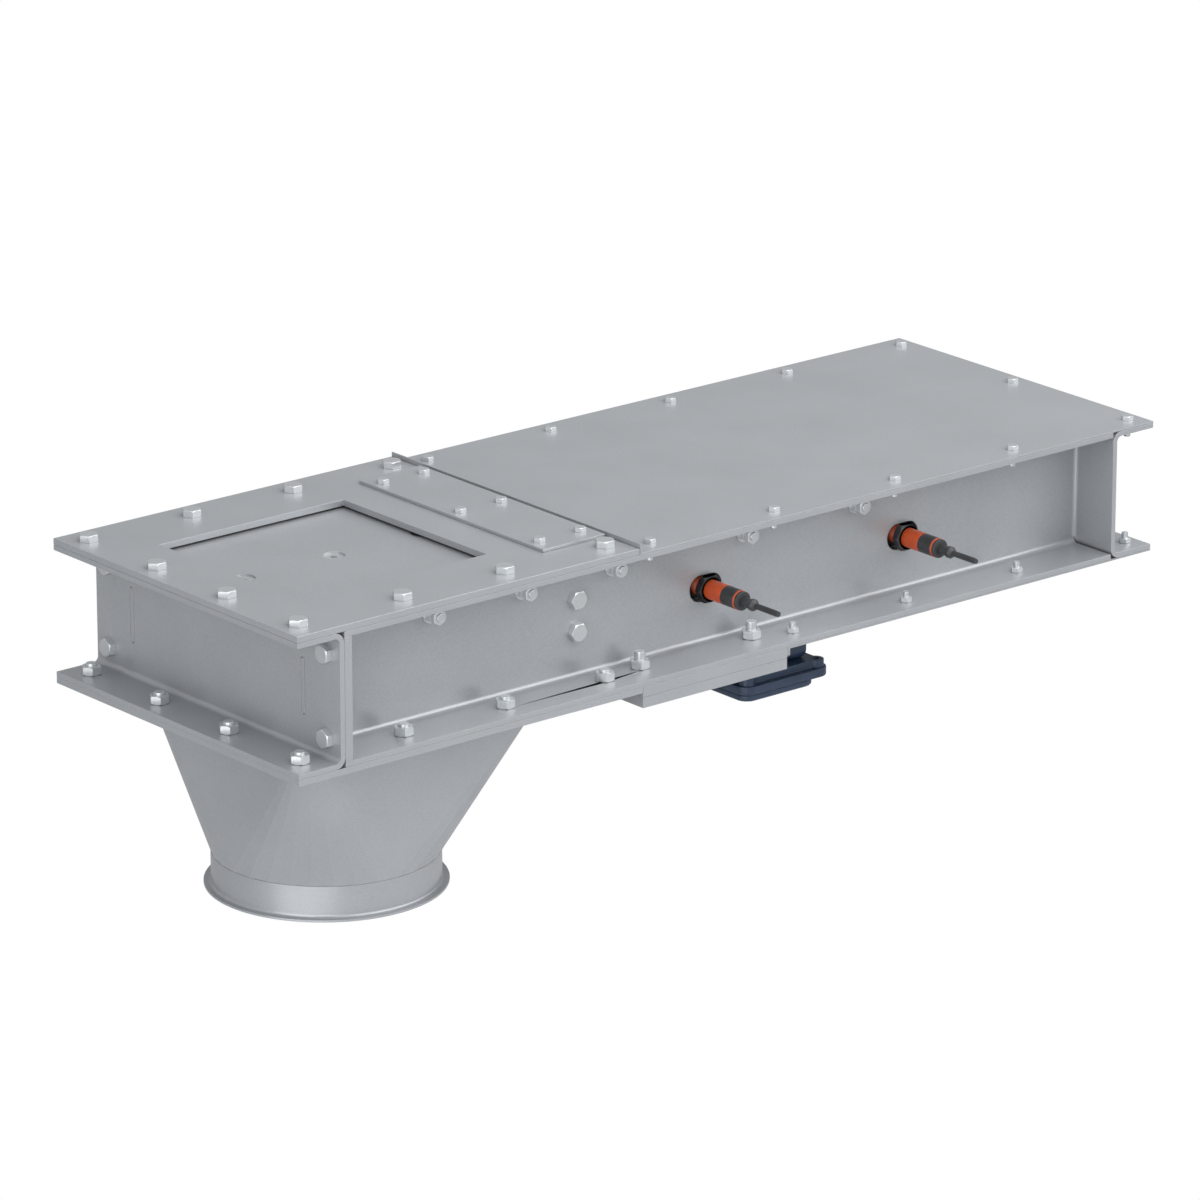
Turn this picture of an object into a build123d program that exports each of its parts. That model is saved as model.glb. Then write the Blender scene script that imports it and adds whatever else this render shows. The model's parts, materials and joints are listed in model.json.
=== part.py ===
from build123d import *
from math import atan, cos, pi, radians, sin, sqrt, tan
import os

# Silo outlet gate: a flat bolted body that hangs under a silo. A plate slides
# between the inlet opening and a square to round outlet. A rack under the
# plate and a pinion on a geared motor move it. Two proximity sensors watch it.
# Millimetres. The origin is the centre of the inlet opening on its top face,
# +X points from the inlet to the rear end, +Z points up, the sensors are at -Y.

# Body
body_length = 990.0
body_width = 350.0
channel_wall = 5.0
channel_height = 122.0        # over both flanges
channel_bend = 5.0            # inner bend radius
end_flange = 50.0             # flange depth of the two end channels
inner_width = 240.0           # clear width between the two side channels
end_bar_thickness = 8.0
tab_height = 51.0             # tab of a side channel in the end channel's slot
tab_clearance = 0.2
corner_weld = 4.0             # weld between a side channel and the rear channel

# Plates and covers
inlet_plate_thickness = 6.0
inlet_plate_length = 375.0
inlet_margin = 19.0           # side channel to the edge of the square opening
inlet_end_gap = 11.0          # end channel's web to the edge of the opening
outlet_plate_thickness = 6.0
outlet_plate_beyond = 4.0     # outlet plate's end beyond the inlet plate's
cover_thickness = 1.5
cover_lip = 10.0              # height of the bent lip over the channels' top
cover_gap = 0.5               # between the inlet plate and the lip
drive_plate_thickness = 10.0
drive_plate_length = 167.0

# Hopper and spigot
outlet_bore = 200.0
outlet_wall = 2.0
hopper_height = 141.0
hopper_corner = 14.0          # corner radius at the top of the hopper
hopper_end_gap = 1.0          # end channel's web to the hopper
hopper_length = 271.0
facets_per_corner = 8
spigot_height = 30.7
lip_width = 6.5               # rolled lip beyond the spigot's outside
lip_bend = 3.0

# Sliding plate and its guides
slide_thickness = 6.0
slide_top_gap = 2.0           # inlet plate to sliding plate
slide_side_gap = 2.0
slide_end_gap = 2.0
stroke_beyond = 32.0          # stroke beyond the length of the opening
rail_width = 20.0
rail_height = 25.0
rail_drop = 2.3               # sliding plate to the rail's top
rail_start_gap = 4.0          # end channel's web to the rails
rail_beyond = 32.0            # rails beyond the opened plate's rear edge
rail_bolt_drop = 14.7         # rail's top to its bolts
rail_bolt_x = (19.5, 121.0, 223.0, 374.5, 507.0)
strip_width = 14.0
strip_depth = 1.0             # depth of the strip's groove in the rail
running_gap = 0.3             # strips and packing to the sliding plate
seal_set_back = 3.0
seal_width = 5.0

# Replaceable packing behind the inlet
clamp_plate_thickness = 3.0
clamp_plate_width = 70.0
clamp_plate_length = 260.0
clamp_plate_margin = 2.0      # clamp plate to the end of the inlet plate
packing_width = 28.0
packing_length = 210.0
packing_clearance = 0.1
clamp_screw_pitch_x = 46.0
clamp_screw_pitch_y = 110.0

# Partition behind the outlet
partition_flange = 41.0
partition_bolt_x = 21.0       # partition's face to its bolts
partition_bolt_drops = (46.0, 76.0)   # channels' top to the bolts
partition_clearance = 1.0     # partition to the rails, rack and sliding plate
partition_gap = 0.6           # hopper's end to the partition

# Rack and pinion
gear_module = 3.0
pinion_teeth = 20
pressure_angle = 20.0
backlash = 0.4
rack_back = 20.0              # back of the rack to the pitch line
rack_height = 20.0
rack_end_gap = 10.0           # front edge of the sliding plate to the rack
rack_tail_gap = 10.0
rack_screw_count = 5
rack_screw_first = 24.0       # front edge of the sliding plate to the first screw
rack_screw_last = 38.0        # last screw to the rear edge of the sliding plate
pinion_setback = 86.0         # drive plates' front edge to the pinion's axis
pinion_width = 19.0
pinion_top_gap = 1.0          # sliding plate to the pinion
shaft_diameter = 25.0
pinion_bore = 20.0
running_clearance = 0.05
key_width = 6.0
key_length = 14.0
retainer_diameter = 26.0
retainer_thickness = 3.0
retainer_below = 1.0          # retaining screw below the pinion's top

# Bearing column on the drive plates
column_diameter = 56.0
column_bore = 32.0
column_top_gap = 6.0          # pinion to the column
column_neck = 5.0
column_screw_gap = 11.0       # column's outside to its screws
column_rim = 9.0              # column's screws to the edge of its flange
column_flange_thickness = 10.0
bush_length = 22.0
bush_flange = 40.0
bush_flange_thickness = 3.0

# Geared motor
case_radius = 50.0
case_depth = 52.0
case_edge = 5.0
case_screw_edge = 9.0         # outside of the case to its screws
case_cap_diameter = 76.0
case_cap_thickness = 4.0
shaft_depth = 40.0            # shaft's end below the drive plates
motor_gap = 14.0              # drive plates' rear edge to the motor
motor_size = 70.0
motor_length = 108.0
motor_corner = 9.0
motor_drop = 7.0              # bottom cover to the motor
motor_ring_thickness = 4.0
motor_cap_length = 20.6
motor_rib_gap = 7.0
motor_rib_depth = 3.0

# Terminal box under the motor
box_back = 87.8               # motor's end to the front of the box
box_length = 104.6
box_width = 100.0
box_corner = 12.5
box_top_depth = 7.0
box_top_inset = 3.0
box_rim_depth = 8.5
lid_length = 86.7
lid_depth = 5.7
boss_diameter = 15.0
boss_bulge = 4.0              # bosses beyond the side between them
boss_pit = 6.0
boss_pit_depth = 3.0
gland_diameter = 18.0
gland_length = 20.0

# Proximity sensors
sensor_setback = 28.0         # pinion's axis to the sensor of the closed position
sensor_drop = 67.0            # channels' top to the sensors' axis
sensor_diameter = 18.0
sensor_web_hole = 40.0
sensor_nut_flats = 24.0
sensor_outer_nut = 8.0
sensor_inner_nut = 4.0
sensor_reach = 29.0           # orange stretch outside the web
sensor_sleeve = 17.0
sensor_ring = 2.0
sensor_cap = 3.0
sensing_gap = 4.0
plug_diameter = 9.0
plug_length = 15.0
collar_diameter = 11.0
collar_length = 8.0
tail_diameter = 5.4
tail_length = 33.0
sensor_bracket_thickness = 3.0
sensor_bracket_stand = 12.0   # web to the bracket's far face
sensor_bracket_width = 50.0
sensor_bracket_height = 40.0
sensor_bracket_foot = 12.0

# Switching flag under the sliding plate
flag_thickness = 3.0
flag_width = 26.0
flag_below_axis = 17.0
flag_foot = 26.0
flag_screw_pitch = 14.0

# Fasteners: diameter, width across flats, head height
m10 = (10.0, 16.0, 6.4)
m8 = (8.0, 13.0, 5.3)
m6 = (6.0, 10.0, 4.0)
nut_ratio = 0.8               # nut height by diameter
m6_edge = 19.0                # body's edge to the M6 rows
m10_end = 20.0                # inlet end to the first M10 row
m10_inner_pitch = 100.0       # M10 pitch across the inlet end
plate_bolt_columns = 4
inlet_plate_tail = 19.0       # last M10 row to the end of the inlet plate
screw_tip = 1.5               # tip below a tapped flange
bolt_tip = 2.5                # thread beyond a nut
stud_tip = 8.0
cover_tip = 5.0
cover_screw_length = 16.0
cover_screw_columns = 5
cover_first = 26.5
cover_last = 15.0
bottom_cover_columns = 4
bottom_cover_first = 22.5
stud_first = 22.0
stud_last = 16.0
stud_web_gap = 19.0           # side channel's web to the drive plates' bolts
hole_play = 1.0               # hole diameter over bolt diameter
thread_play = 0.1             # tapped hole over screw diameter
end_bolt_edge = 19.0
end_bolt_drop = 23.0          # from the channels' top, and up from their bottom
csk_diameter = 20.0
csk_below = 1.6               # head below the sliding plate's top
csk_play = 0.2                # countersink round the head
socket_flats = 6.0
rail_washer = 17.0
rail_washer_thickness = 1.6
rail_nut_pair = 2             # nut and lock nut
rail_bolt_tip = 1.2
rail_bolt_dome = 0.8

# Places that follow from the sizes
inlet_opening = inner_width - 2 * inlet_margin
front_web_x = -inlet_opening / 2 - inlet_end_gap
inlet_end_x = front_web_x - end_flange
rear_end_x = inlet_end_x + body_length
half_width = body_width / 2
rear_web_x = rear_end_x - end_flange
web_y = inner_width / 2
web_out_y = web_y + channel_wall
channel_top = -inlet_plate_thickness
channel_bottom = channel_top - channel_height
flange_under = channel_top - channel_wall
flange_over = channel_bottom + channel_wall
inlet_plate_end = inlet_end_x + inlet_plate_length
outlet_plate_end = inlet_plate_end + outlet_plate_beyond
outlet_plate_bottom = channel_bottom - outlet_plate_thickness
drive_plate_end = outlet_plate_end + drive_plate_length
drive_plate_bottom = channel_bottom - 2 * drive_plate_thickness
cover_start = inlet_plate_end + cover_gap
pinion_x = outlet_plate_end + pinion_setback
sensor_x = pinion_x + sensor_setback
stroke = inlet_opening + stroke_beyond
slide_top = channel_top - slide_top_gap
slide_bottom = slide_top - slide_thickness
slide_start = front_web_x + slide_end_gap
slide_end = sensor_x + flag_width / 2
slide_width = inner_width - 2 * slide_side_gap
rail_top = slide_bottom - rail_drop
rail_bottom = rail_top - rail_height
rail_bolt_z = rail_top - rail_bolt_drop
rail_start = front_web_x + rail_start_gap
rail_length = slide_end + stroke + rail_beyond - rail_start
rail_inner_y = web_y - rail_width
hopper_start = front_web_x + hopper_end_gap
hopper_end = hopper_start + hopper_length
partition_x = hopper_end + partition_gap
pitch_radius = gear_module * pinion_teeth / 2
pitch_line_y = rack_back / 2
pinion_y = pitch_line_y + pitch_radius
rack_bottom = slide_bottom - rack_height
pinion_top = slide_bottom - pinion_top_gap
pinion_bottom = pinion_top - pinion_width
column_top = pinion_bottom - column_top_gap
column_screw_circle = column_diameter + 2 * column_screw_gap
column_flange = column_screw_circle + 2 * column_rim
case_screw_circle = 2 * (case_radius - case_screw_edge)
motor_x = drive_plate_end + motor_gap
motor_end = motor_x + motor_length + motor_ring_thickness + motor_cap_length
box_start = motor_end - box_back
motor_top = channel_bottom - cover_thickness - motor_drop
motor_bottom = motor_top - motor_size
motor_axis_z = motor_top - motor_size / 2
sensor_z = channel_top - sensor_drop
clamp_plate_x = inlet_plate_end - clamp_plate_margin - clamp_plate_width / 2
spigot_top = outlet_plate_bottom - hopper_height
spigot_bottom = spigot_top - spigot_height
bracket_face_y = web_y - sensor_bracket_stand
sensor_face_y = bracket_face_y - sensor_inner_nut - sensing_gap
flag_y = sensor_face_y - sensing_gap


def row(first, last, count):
    """Evenly spaced places from first to last."""
    return [first + (last - first) * i / (count - 1) for i in range(count)]


def group(solids):
    """Several separate solids in one node."""
    return Compound(list(solids))


def plate(x0, x1, width, top, thickness):
    """Flat plate centred on y = 0."""
    outline = Pos((x0 + x1) / 2, 0) * Rectangle(x1 - x0, width)
    return Pos(0, 0, top - thickness) * extrude(outline, thickness)


def drill(places, diameter, top, bottom):
    """Upright holes through the places, a little longer than the plate."""
    depth = top - bottom + 2
    return [Pos(x, y, (top + bottom) / 2) * Cylinder(diameter / 2, depth) for x, y in places]


def hexagon(flats, height):
    """Hexagonal prism on z = 0 with corners towards X."""
    return extrude(RegularPolygon(flats / 2, 6, major_radius=False), height)


def hex_screw(size, length):
    """Hexagon screw with its head on z = 0 and its shank below."""
    diameter, flats, head = size
    shank = Pos(0, 0, -length / 2) * Cylinder(diameter / 2, length)
    return hexagon(flats, head) + shank


def hex_nut(size):
    """Nut on z = 0 round a clear thread."""
    diameter, flats, _ = size
    height = diameter * nut_ratio
    bore = Pos(0, 0, height / 2) * Cylinder((diameter + thread_play) / 2, height)
    return hexagon(flats, height) - bore


def channel_section(flange):
    """Bent sheet channel: web on x = 0, flanges towards +x, centred on y = 0."""
    outer = Pos(flange / 2, 0) * Rectangle(flange, channel_height)
    inside = Rectangle(flange - channel_wall, channel_height - 2 * channel_wall)
    section = outer - Pos((flange + channel_wall) / 2, 0) * inside
    for x, radius in ((0.0, channel_bend + channel_wall), (channel_wall, channel_bend)):
        corners = [v for v in section.vertices() if abs(v.X - x) < 0.01]
        section = fillet(corners, radius)
    return section


# Places of the fasteners, as (x, y)
m10_columns = row(inlet_end_x + m10_end, inlet_plate_end - inlet_plate_tail, plate_bolt_columns)
flange_middle = (web_out_y + half_width) / 2
m10_rows = (-flange_middle, flange_middle)
m10_places = [(x, y) for x in m10_columns for y in m10_rows]
m10_places += [(m10_columns[0], s * m10_inner_pitch / 2) for s in (-1, 1)]
m6_rows = (-half_width + m6_edge, half_width - m6_edge)
cover_columns = row(cover_start + cover_first, rear_end_x - cover_last, cover_screw_columns)
cover_places = [(x, y) for x in cover_columns for y in m6_rows] + [(cover_columns[-1], 0.0)]
bottom_columns = row(drive_plate_end + bottom_cover_first, rear_end_x - cover_last,
                     bottom_cover_columns)
bottom_places = [(x, y) for x in bottom_columns for y in m6_rows] + [(bottom_columns[-1], 0.0)]
stud_places = [(x, s * (web_out_y + stud_web_gap)) for s in (-1, 1)
               for x in (outlet_plate_end + stud_first, drive_plate_end - stud_last)]
clamp_places = [(clamp_plate_x + sx * clamp_screw_pitch_x / 2, sy * clamp_screw_pitch_y)
                for sx in (-1, 1) for sy in (-1, 0, 1)]
rack_screw_x = row(slide_start + rack_screw_first, slide_end - rack_screw_last,
                   rack_screw_count)
sensor_places = (sensor_x, sensor_x + stroke)
end_bolt_places = [(side * (half_width - end_bolt_edge), z) for side in (-1, 1)
                   for z in (channel_top - end_bolt_drop, channel_bottom + end_bolt_drop)]


def around_shaft(circle, turn=45.0):
    """Four places on a circle round the pinion's axis."""
    angles = [radians(turn + 90 * i) for i in range(4)]
    return [(pinion_x + circle / 2 * cos(a), pinion_y + circle / 2 * sin(a)) for a in angles]


column_screw_places = around_shaft(column_screw_circle)
case_screw_places = around_shaft(case_screw_circle, 0.0)


def make_inlet_plate():
    body = plate(inlet_end_x, inlet_plate_end, body_width, 0.0, inlet_plate_thickness)
    body -= Pos(0, 0, -inlet_plate_thickness) * extrude(
        Rectangle(inlet_opening, inlet_opening), inlet_plate_thickness)
    body -= Pos(clamp_plate_x, 0, -inlet_plate_thickness) * extrude(
        Rectangle(packing_width, packing_length), inlet_plate_thickness)
    body -= drill(m10_places, m10[0] + hole_play, 0.0, -inlet_plate_thickness)
    body -= drill(clamp_places, m6[0] + thread_play, 0.0, -inlet_plate_thickness)
    return body


def make_clamp_plate():
    outline = Pos(clamp_plate_x, 0) * Rectangle(clamp_plate_width, clamp_plate_length)
    body = extrude(outline, clamp_plate_thickness)
    return body - drill(clamp_places, m6[0] + hole_play, clamp_plate_thickness, 0.0)


def make_packing():
    """Felt block in the window of the inlet plate, pressed on the sliding plate."""
    size = Rectangle(packing_width - 2 * packing_clearance, packing_length - 2 * packing_clearance)
    depth = -slide_top - running_gap
    return Pos(clamp_plate_x, 0, -depth) * extrude(size, depth)


def make_seal_frame():
    """Rubber frame under the inlet plate, set back from the opening."""
    inner = inlet_opening + 2 * seal_set_back
    outer = inner + 2 * seal_width
    depth = slide_top_gap - running_gap
    return Pos(0, 0, channel_top - depth) * extrude(
        Rectangle(outer, outer) - Rectangle(inner, inner), depth)


def end_channel(web_x, outwards):
    """End channel across the body, flanges outwards."""
    start = Plane(origin=(web_x, -outwards * -half_width, channel_top - channel_height / 2),
                  x_dir=(outwards, 0, 0), z_dir=(0, -outwards, 0))
    return extrude(start * channel_section(end_flange), body_width)


def make_end_channel_inlet():
    body = end_channel(front_web_x, -1)
    slot_z = channel_top - channel_height / 2
    slot = Rectangle(channel_wall + 2 * tab_clearance, tab_height + 2 * tab_clearance)
    slot = fillet(slot.vertices(), channel_wall / 2)
    for side in (-1, 1):
        face = Plane(origin=(front_web_x, side * (web_y + channel_wall / 2), slot_z),
                     x_dir=(0, 1, 0), z_dir=(1, 0, 0))
        body -= extrude(face * slot, -channel_wall)
    for y, z in end_bolt_places:
        hole = Rot(0, 90, 0) * Cylinder((m10[0] + hole_play) / 2, 4 * channel_wall)
        body -= Pos(front_web_x, y, z) * hole
    inner_places = [p for p in m10_places if p[0] == m10_columns[0]]
    body -= drill(inner_places, m10[0] + thread_play, channel_top, flange_under)
    body -= drill(inner_places, m10[0] + hole_play, flange_over, channel_bottom)
    return body


def make_end_channel_rear():
    body = end_channel(rear_web_x, 1)
    top = [p for p in cover_places if p[0] == cover_columns[-1]]
    body -= drill(top, m6[0] + thread_play, channel_top, flange_under)
    bottom = [p for p in bottom_places if p[0] == bottom_columns[-1]]
    return body - drill(bottom, m6[0] + hole_play, flange_over, channel_bottom)


def make_corner_weld(side):
    """Hollow weld seam in the corner between a side channel's web and the rear channel."""
    root = (rear_web_x, side * web_out_y)
    arc_from = (rear_web_x - corner_weld, side * web_out_y)
    arc_to = (rear_web_x, side * (web_out_y + corner_weld))
    centre = (rear_web_x - corner_weld, side * (web_out_y + corner_weld))
    hollow = (centre[0] + corner_weld * cos(pi / 4), centre[1] - side * corner_weld * sin(pi / 4))
    line = Line(root, arc_from) + ThreePointArc(arc_from, hollow, arc_to) + Line(arc_to, root)
    low = flange_over + channel_bend
    height = flange_under - channel_bend - low
    return Pos(0, 0, low) * extrude(make_face(line), height)


def make_side_channel(side):
    """Side channel between the end channels; side is -1 at the sensors."""
    start_x = front_web_x if side > 0 else rear_web_x
    start = Plane(origin=(start_x, side * web_y, channel_top - channel_height / 2),
                  x_dir=(0, side, 0), z_dir=(side, 0, 0))
    body = extrude(start * channel_section(half_width - web_y), rear_web_x - front_web_x)
    tab = Rectangle(channel_wall, tab_height)
    tab = fillet(tab.vertices(), channel_wall / 2 - tab_clearance)
    tab_plane = Plane(origin=(front_web_x, side * (web_y + channel_wall / 2),
                              channel_top - channel_height / 2),
                      x_dir=(0, 1, 0), z_dir=(1, 0, 0))
    body += extrude(tab_plane * tab, -channel_wall)
    body += make_corner_weld(side)
    mine = [p for p in m10_places if p[0] > m10_columns[0] and p[1] * side > 0]
    body -= drill(mine, m10[0] + thread_play, channel_top, flange_under)
    body -= drill(mine, m10[0] + hole_play, flange_over, channel_bottom)
    covers = [p for p in cover_places if p[0] < cover_columns[-1] and p[1] * side > 0]
    body -= drill(covers, m6[0] + thread_play, channel_top, flange_under)
    bottoms = [p for p in bottom_places if p[0] < bottom_columns[-1] and p[1] * side > 0]
    body -= drill(bottoms, m6[0] + hole_play, flange_over, channel_bottom)
    studs = [p for p in stud_places if p[1] * side > 0]
    body -= drill(studs, m10[0] + hole_play, flange_over, channel_bottom)
    holes = [(x, rail_bolt_z, m8[0] + hole_play) for x in rail_bolt_x]
    holes += [(partition_x + partition_bolt_x, channel_top - d, m10[0] + hole_play)
              for d in partition_bolt_drops]
    if side < 0:
        holes += [(x, sensor_z, sensor_web_hole) for x in sensor_places]
    for x, z, diameter in holes:
        hole = Rot(90, 0, 0) * Cylinder(diameter / 2, 2 * channel_wall)
        body -= Pos(x, side * (web_y + channel_wall / 2), z) * hole
    return body


def make_end_bars():
    """Tapped bars welded behind the inlet end channel, one on each side."""
    bars = []
    inner = web_out_y + channel_bend
    for side in (-1, 1):
        face = Plane(origin=(front_web_x, side * (inner + half_width) / 2,
                             (flange_under + flange_over) / 2), x_dir=(0, 1, 0), z_dir=(1, 0, 0))
        bar = extrude(face * Rectangle(half_width - inner, flange_under - flange_over),
                      end_bar_thickness)
        for y, z in end_bolt_places:
            hole = Rot(0, 90, 0) * Cylinder((m10[0] + thread_play) / 2, 4 * end_bar_thickness)
            bar -= Pos(front_web_x, y, z) * hole
        bars.append(bar)
    return group(bars)


def make_top_cover():
    """Thin cover with a lip bent up behind the inlet plate."""
    outline = Polyline((cover_start, channel_top), (rear_end_x, channel_top),
                       (rear_end_x, channel_top + cover_thickness),
                       (cover_start + cover_thickness, channel_top + cover_thickness),
                       (cover_start + cover_thickness, channel_top + cover_lip),
                       (cover_start, channel_top + cover_lip), close=True)
    section = Plane.XZ * make_face(outline)
    body = Pos(0, half_width, 0) * extrude(section, body_width)
    return body - drill(cover_places, m6[0] + hole_play, channel_top + cover_thickness, channel_top)


def make_bottom_cover():
    body = plate(drive_plate_end, rear_end_x, body_width, channel_bottom, cover_thickness)
    return body - drill(bottom_places, m6[0] + hole_play, channel_bottom,
                        channel_bottom - cover_thickness)


def make_partition():
    """Bent cross member behind the outlet, cut out for the rack and the rails."""
    top = slide_bottom - partition_clearance
    height = top - channel_bottom
    outline = Polyline((partition_x, -web_y), (partition_x, web_y),
                       (partition_x + partition_flange, web_y),
                       (partition_x + partition_flange, web_y - channel_wall),
                       (partition_x + channel_wall, web_y - channel_wall),
                       (partition_x + channel_wall, -web_y + channel_wall),
                       (partition_x + partition_flange, -web_y + channel_wall),
                       (partition_x + partition_flange, -web_y), close=True)
    section = make_face(outline)
    for x, radius in ((partition_x, channel_bend + channel_wall),
                      (partition_x + channel_wall, channel_bend)):
        corners = [v for v in section.vertices() if abs(v.X - x) < 0.01]
        section = fillet(corners, radius)
    body = Pos(0, 0, channel_bottom) * extrude(section, height)
    rack_low = rack_bottom - partition_clearance
    notch_width = rack_back + gear_module + 2 * partition_clearance
    notch_y = -rack_back / 2 - partition_clearance + notch_width / 2
    notch = extrude(Rectangle(4 * channel_wall, notch_width), top - rack_low + 1)
    body -= Pos(partition_x, notch_y, rack_low) * notch
    rail_low = rail_bottom - partition_clearance
    corner = extrude(Rectangle(4 * partition_flange, rail_width + partition_clearance),
                     top - rail_low + 1)
    for side in (-1, 1):
        corner_y = side * (web_y - (rail_width + partition_clearance) / 2)
        body -= Pos(partition_x, corner_y, rail_low) * corner
        for drop in partition_bolt_drops:
            hole = Rot(90, 0, 0) * Cylinder((m10[0] + hole_play) / 2, 4 * channel_wall)
            body -= Pos(partition_x + partition_bolt_x, side * web_y, channel_top - drop) * hole
    return body


def make_guide_rail(side):
    """Flat bar on the inside of a side channel, grooved for its strip."""
    middle = side * (web_y - rail_width / 2)
    bar = Rectangle(rail_width, rail_height)
    bar -= Pos(0, rail_height / 2 - strip_depth / 2) * Rectangle(strip_width, strip_depth)
    start = Plane(origin=(rail_start, middle, rail_top - rail_height / 2),
                  x_dir=(0, 1, 0), z_dir=(1, 0, 0))
    body = extrude(start * bar, rail_length)
    for x in rail_bolt_x:
        hole = Rot(90, 0, 0) * Cylinder((m8[0] + thread_play) / 2, 2 * rail_width)
        body -= Pos(x, middle, rail_bolt_z) * hole
    return body


def make_slide_strips():
    """Plastic strips in the rails' grooves that carry the sliding plate."""
    depth = slide_bottom - running_gap - (rail_top - strip_depth)
    strips = []
    for side in (-1, 1):
        middle = side * (web_y - rail_width / 2)
        outline = Pos(rail_start + rail_length / 2, middle) * Rectangle(rail_length, strip_width)
        strips.append(Pos(0, 0, rail_top - strip_depth) * extrude(outline, depth))
    return group(strips)


def make_outlet_plate():
    body = plate(inlet_end_x, outlet_plate_end, body_width, channel_bottom, outlet_plate_thickness)
    opening = Rectangle(hopper_length - 2 * outlet_wall, inner_width - 2 * outlet_wall)
    opening = fillet(opening.vertices(), hopper_corner - outlet_wall)
    middle = (hopper_start + hopper_end) / 2
    body -= Pos(middle, 0, outlet_plate_bottom) * extrude(opening, outlet_plate_thickness)
    return body - drill(m10_places, m10[0] + hole_play, channel_bottom, outlet_plate_bottom)


def transition(inset):
    """Square to round form with flat facets, drawn in by the inset."""
    middle = (hopper_start + hopper_end) / 2
    half_x = hopper_length / 2 - inset
    half_y = inner_width / 2 - inset
    corner = hopper_corner - inset
    radius = outlet_bore / 2 + outlet_wall - inset
    top, bottom = [], []
    for i, (sx, sy) in enumerate(((1, 1), (-1, 1), (-1, -1), (1, -1))):
        centre = (middle + sx * (half_x - corner), sy * (half_y - corner))
        angles = [radians(90 * i + 90 * j / facets_per_corner)
                  for j in range(facets_per_corner + 1)]
        top.append([Vector(centre[0] + corner * cos(a), centre[1] + corner * sin(a),
                           outlet_plate_bottom) for a in angles])
        bottom.append([Vector(radius * cos(a), radius * sin(a), spigot_top) for a in angles])
    faces = []
    for i in range(4):
        for j in range(facets_per_corner):
            upper, lower = top[i][j:j + 2], bottom[i][j:j + 2]
            faces.append((upper[0], lower[0], lower[1]))
            faces.append((upper[0], lower[1], upper[1]))
        faces.append((top[i][-1], bottom[i][-1], top[(i + 1) % 4][0]))
    faces.append([p for corner_points in top for p in corner_points])
    faces.append([p for corner_points in bottom for p in corner_points[:-1]])
    skins = [Face(Wire.make_polygon(points, close=True)) for points in faces]
    return Solid(Shell(skins))


def make_hopper():
    return transition(0.0) - transition(outlet_wall)


def make_spigot():
    """Round outlet tube with a rolled lip at its foot."""
    inner = outlet_bore / 2
    outer = inner + outlet_wall
    lip = outer + lip_width
    section = Polyline((inner, spigot_top), (outer, spigot_top),
                       (outer, spigot_bottom + outlet_wall), (lip, spigot_bottom + outlet_wall),
                       (lip, spigot_bottom), (inner, spigot_bottom), close=True)
    face = make_face(section)
    inside = [v for v in face.vertices() if abs(v.X - outer) < 0.01 and v.Y < spigot_top - 1]
    face = fillet(inside, lip_bend)
    throat = [v for v in face.vertices() if abs(v.X - inner) < 0.01 and v.Y < spigot_top - 1]
    face = fillet(throat, outlet_wall)
    return revolve(Plane.XZ * face, Axis.Z)


def make_drive_plate(top):
    body = plate(outlet_plate_end, drive_plate_end, body_width, top, drive_plate_thickness)
    bottom = top - drive_plate_thickness
    body -= drill([(pinion_x, pinion_y)], shaft_diameter + 4 * hole_play, top, bottom)
    body -= drill(stud_places, m10[0] + hole_play, top, bottom)
    body -= drill(case_screw_places, m8[0] + hole_play, top, bottom)
    return body


def make_drive_plate_upper():
    body = make_drive_plate(channel_bottom)
    return body - drill(column_screw_places, m6[0] + thread_play, channel_bottom,
                        channel_bottom - drive_plate_thickness)


def make_bearing_column():
    """Turned pedestal that carries the shaft's two bushes."""
    bore, outer, flange = column_bore / 2, column_diameter / 2, column_flange / 2
    foot = channel_bottom + column_flange_thickness
    section = Polyline((bore, channel_bottom), (flange, channel_bottom), (flange, foot),
                       (outer, foot), (outer, column_top), (bore, column_top), close=True)
    face = make_face(section)
    neck = [v for v in face.vertices() if abs(v.X - outer) < 0.01 and abs(v.Y - foot) < 0.01]
    face = fillet(neck, column_neck)
    body = Pos(pinion_x, pinion_y, 0) * revolve(Plane.XZ * face, Axis.Z)
    body -= drill(column_screw_places, m6[0] + hole_play, foot, channel_bottom)
    return body - drill(case_screw_places, m8[1] + 4 * hole_play, foot, channel_bottom)


def make_shaft_bushes():
    """Bronze bushes at the column's top and foot, the upper one with a flange."""
    bore = shaft_diameter / 2 + running_clearance
    outer = column_bore / 2
    rim = bush_flange / 2
    upper = Polyline((bore, column_top - bush_length), (outer, column_top - bush_length),
                     (outer, column_top), (rim, column_top),
                     (rim, column_top + bush_flange_thickness),
                     (bore, column_top + bush_flange_thickness), close=True)
    lower = Polyline((bore, channel_bottom), (outer, channel_bottom),
                     (outer, channel_bottom + bush_length),
                     (bore, channel_bottom + bush_length), close=True)
    place = Pos(pinion_x, pinion_y, 0)
    return group(place * revolve(Plane.XZ * make_face(line), Axis.Z) for line in (upper, lower))


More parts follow.
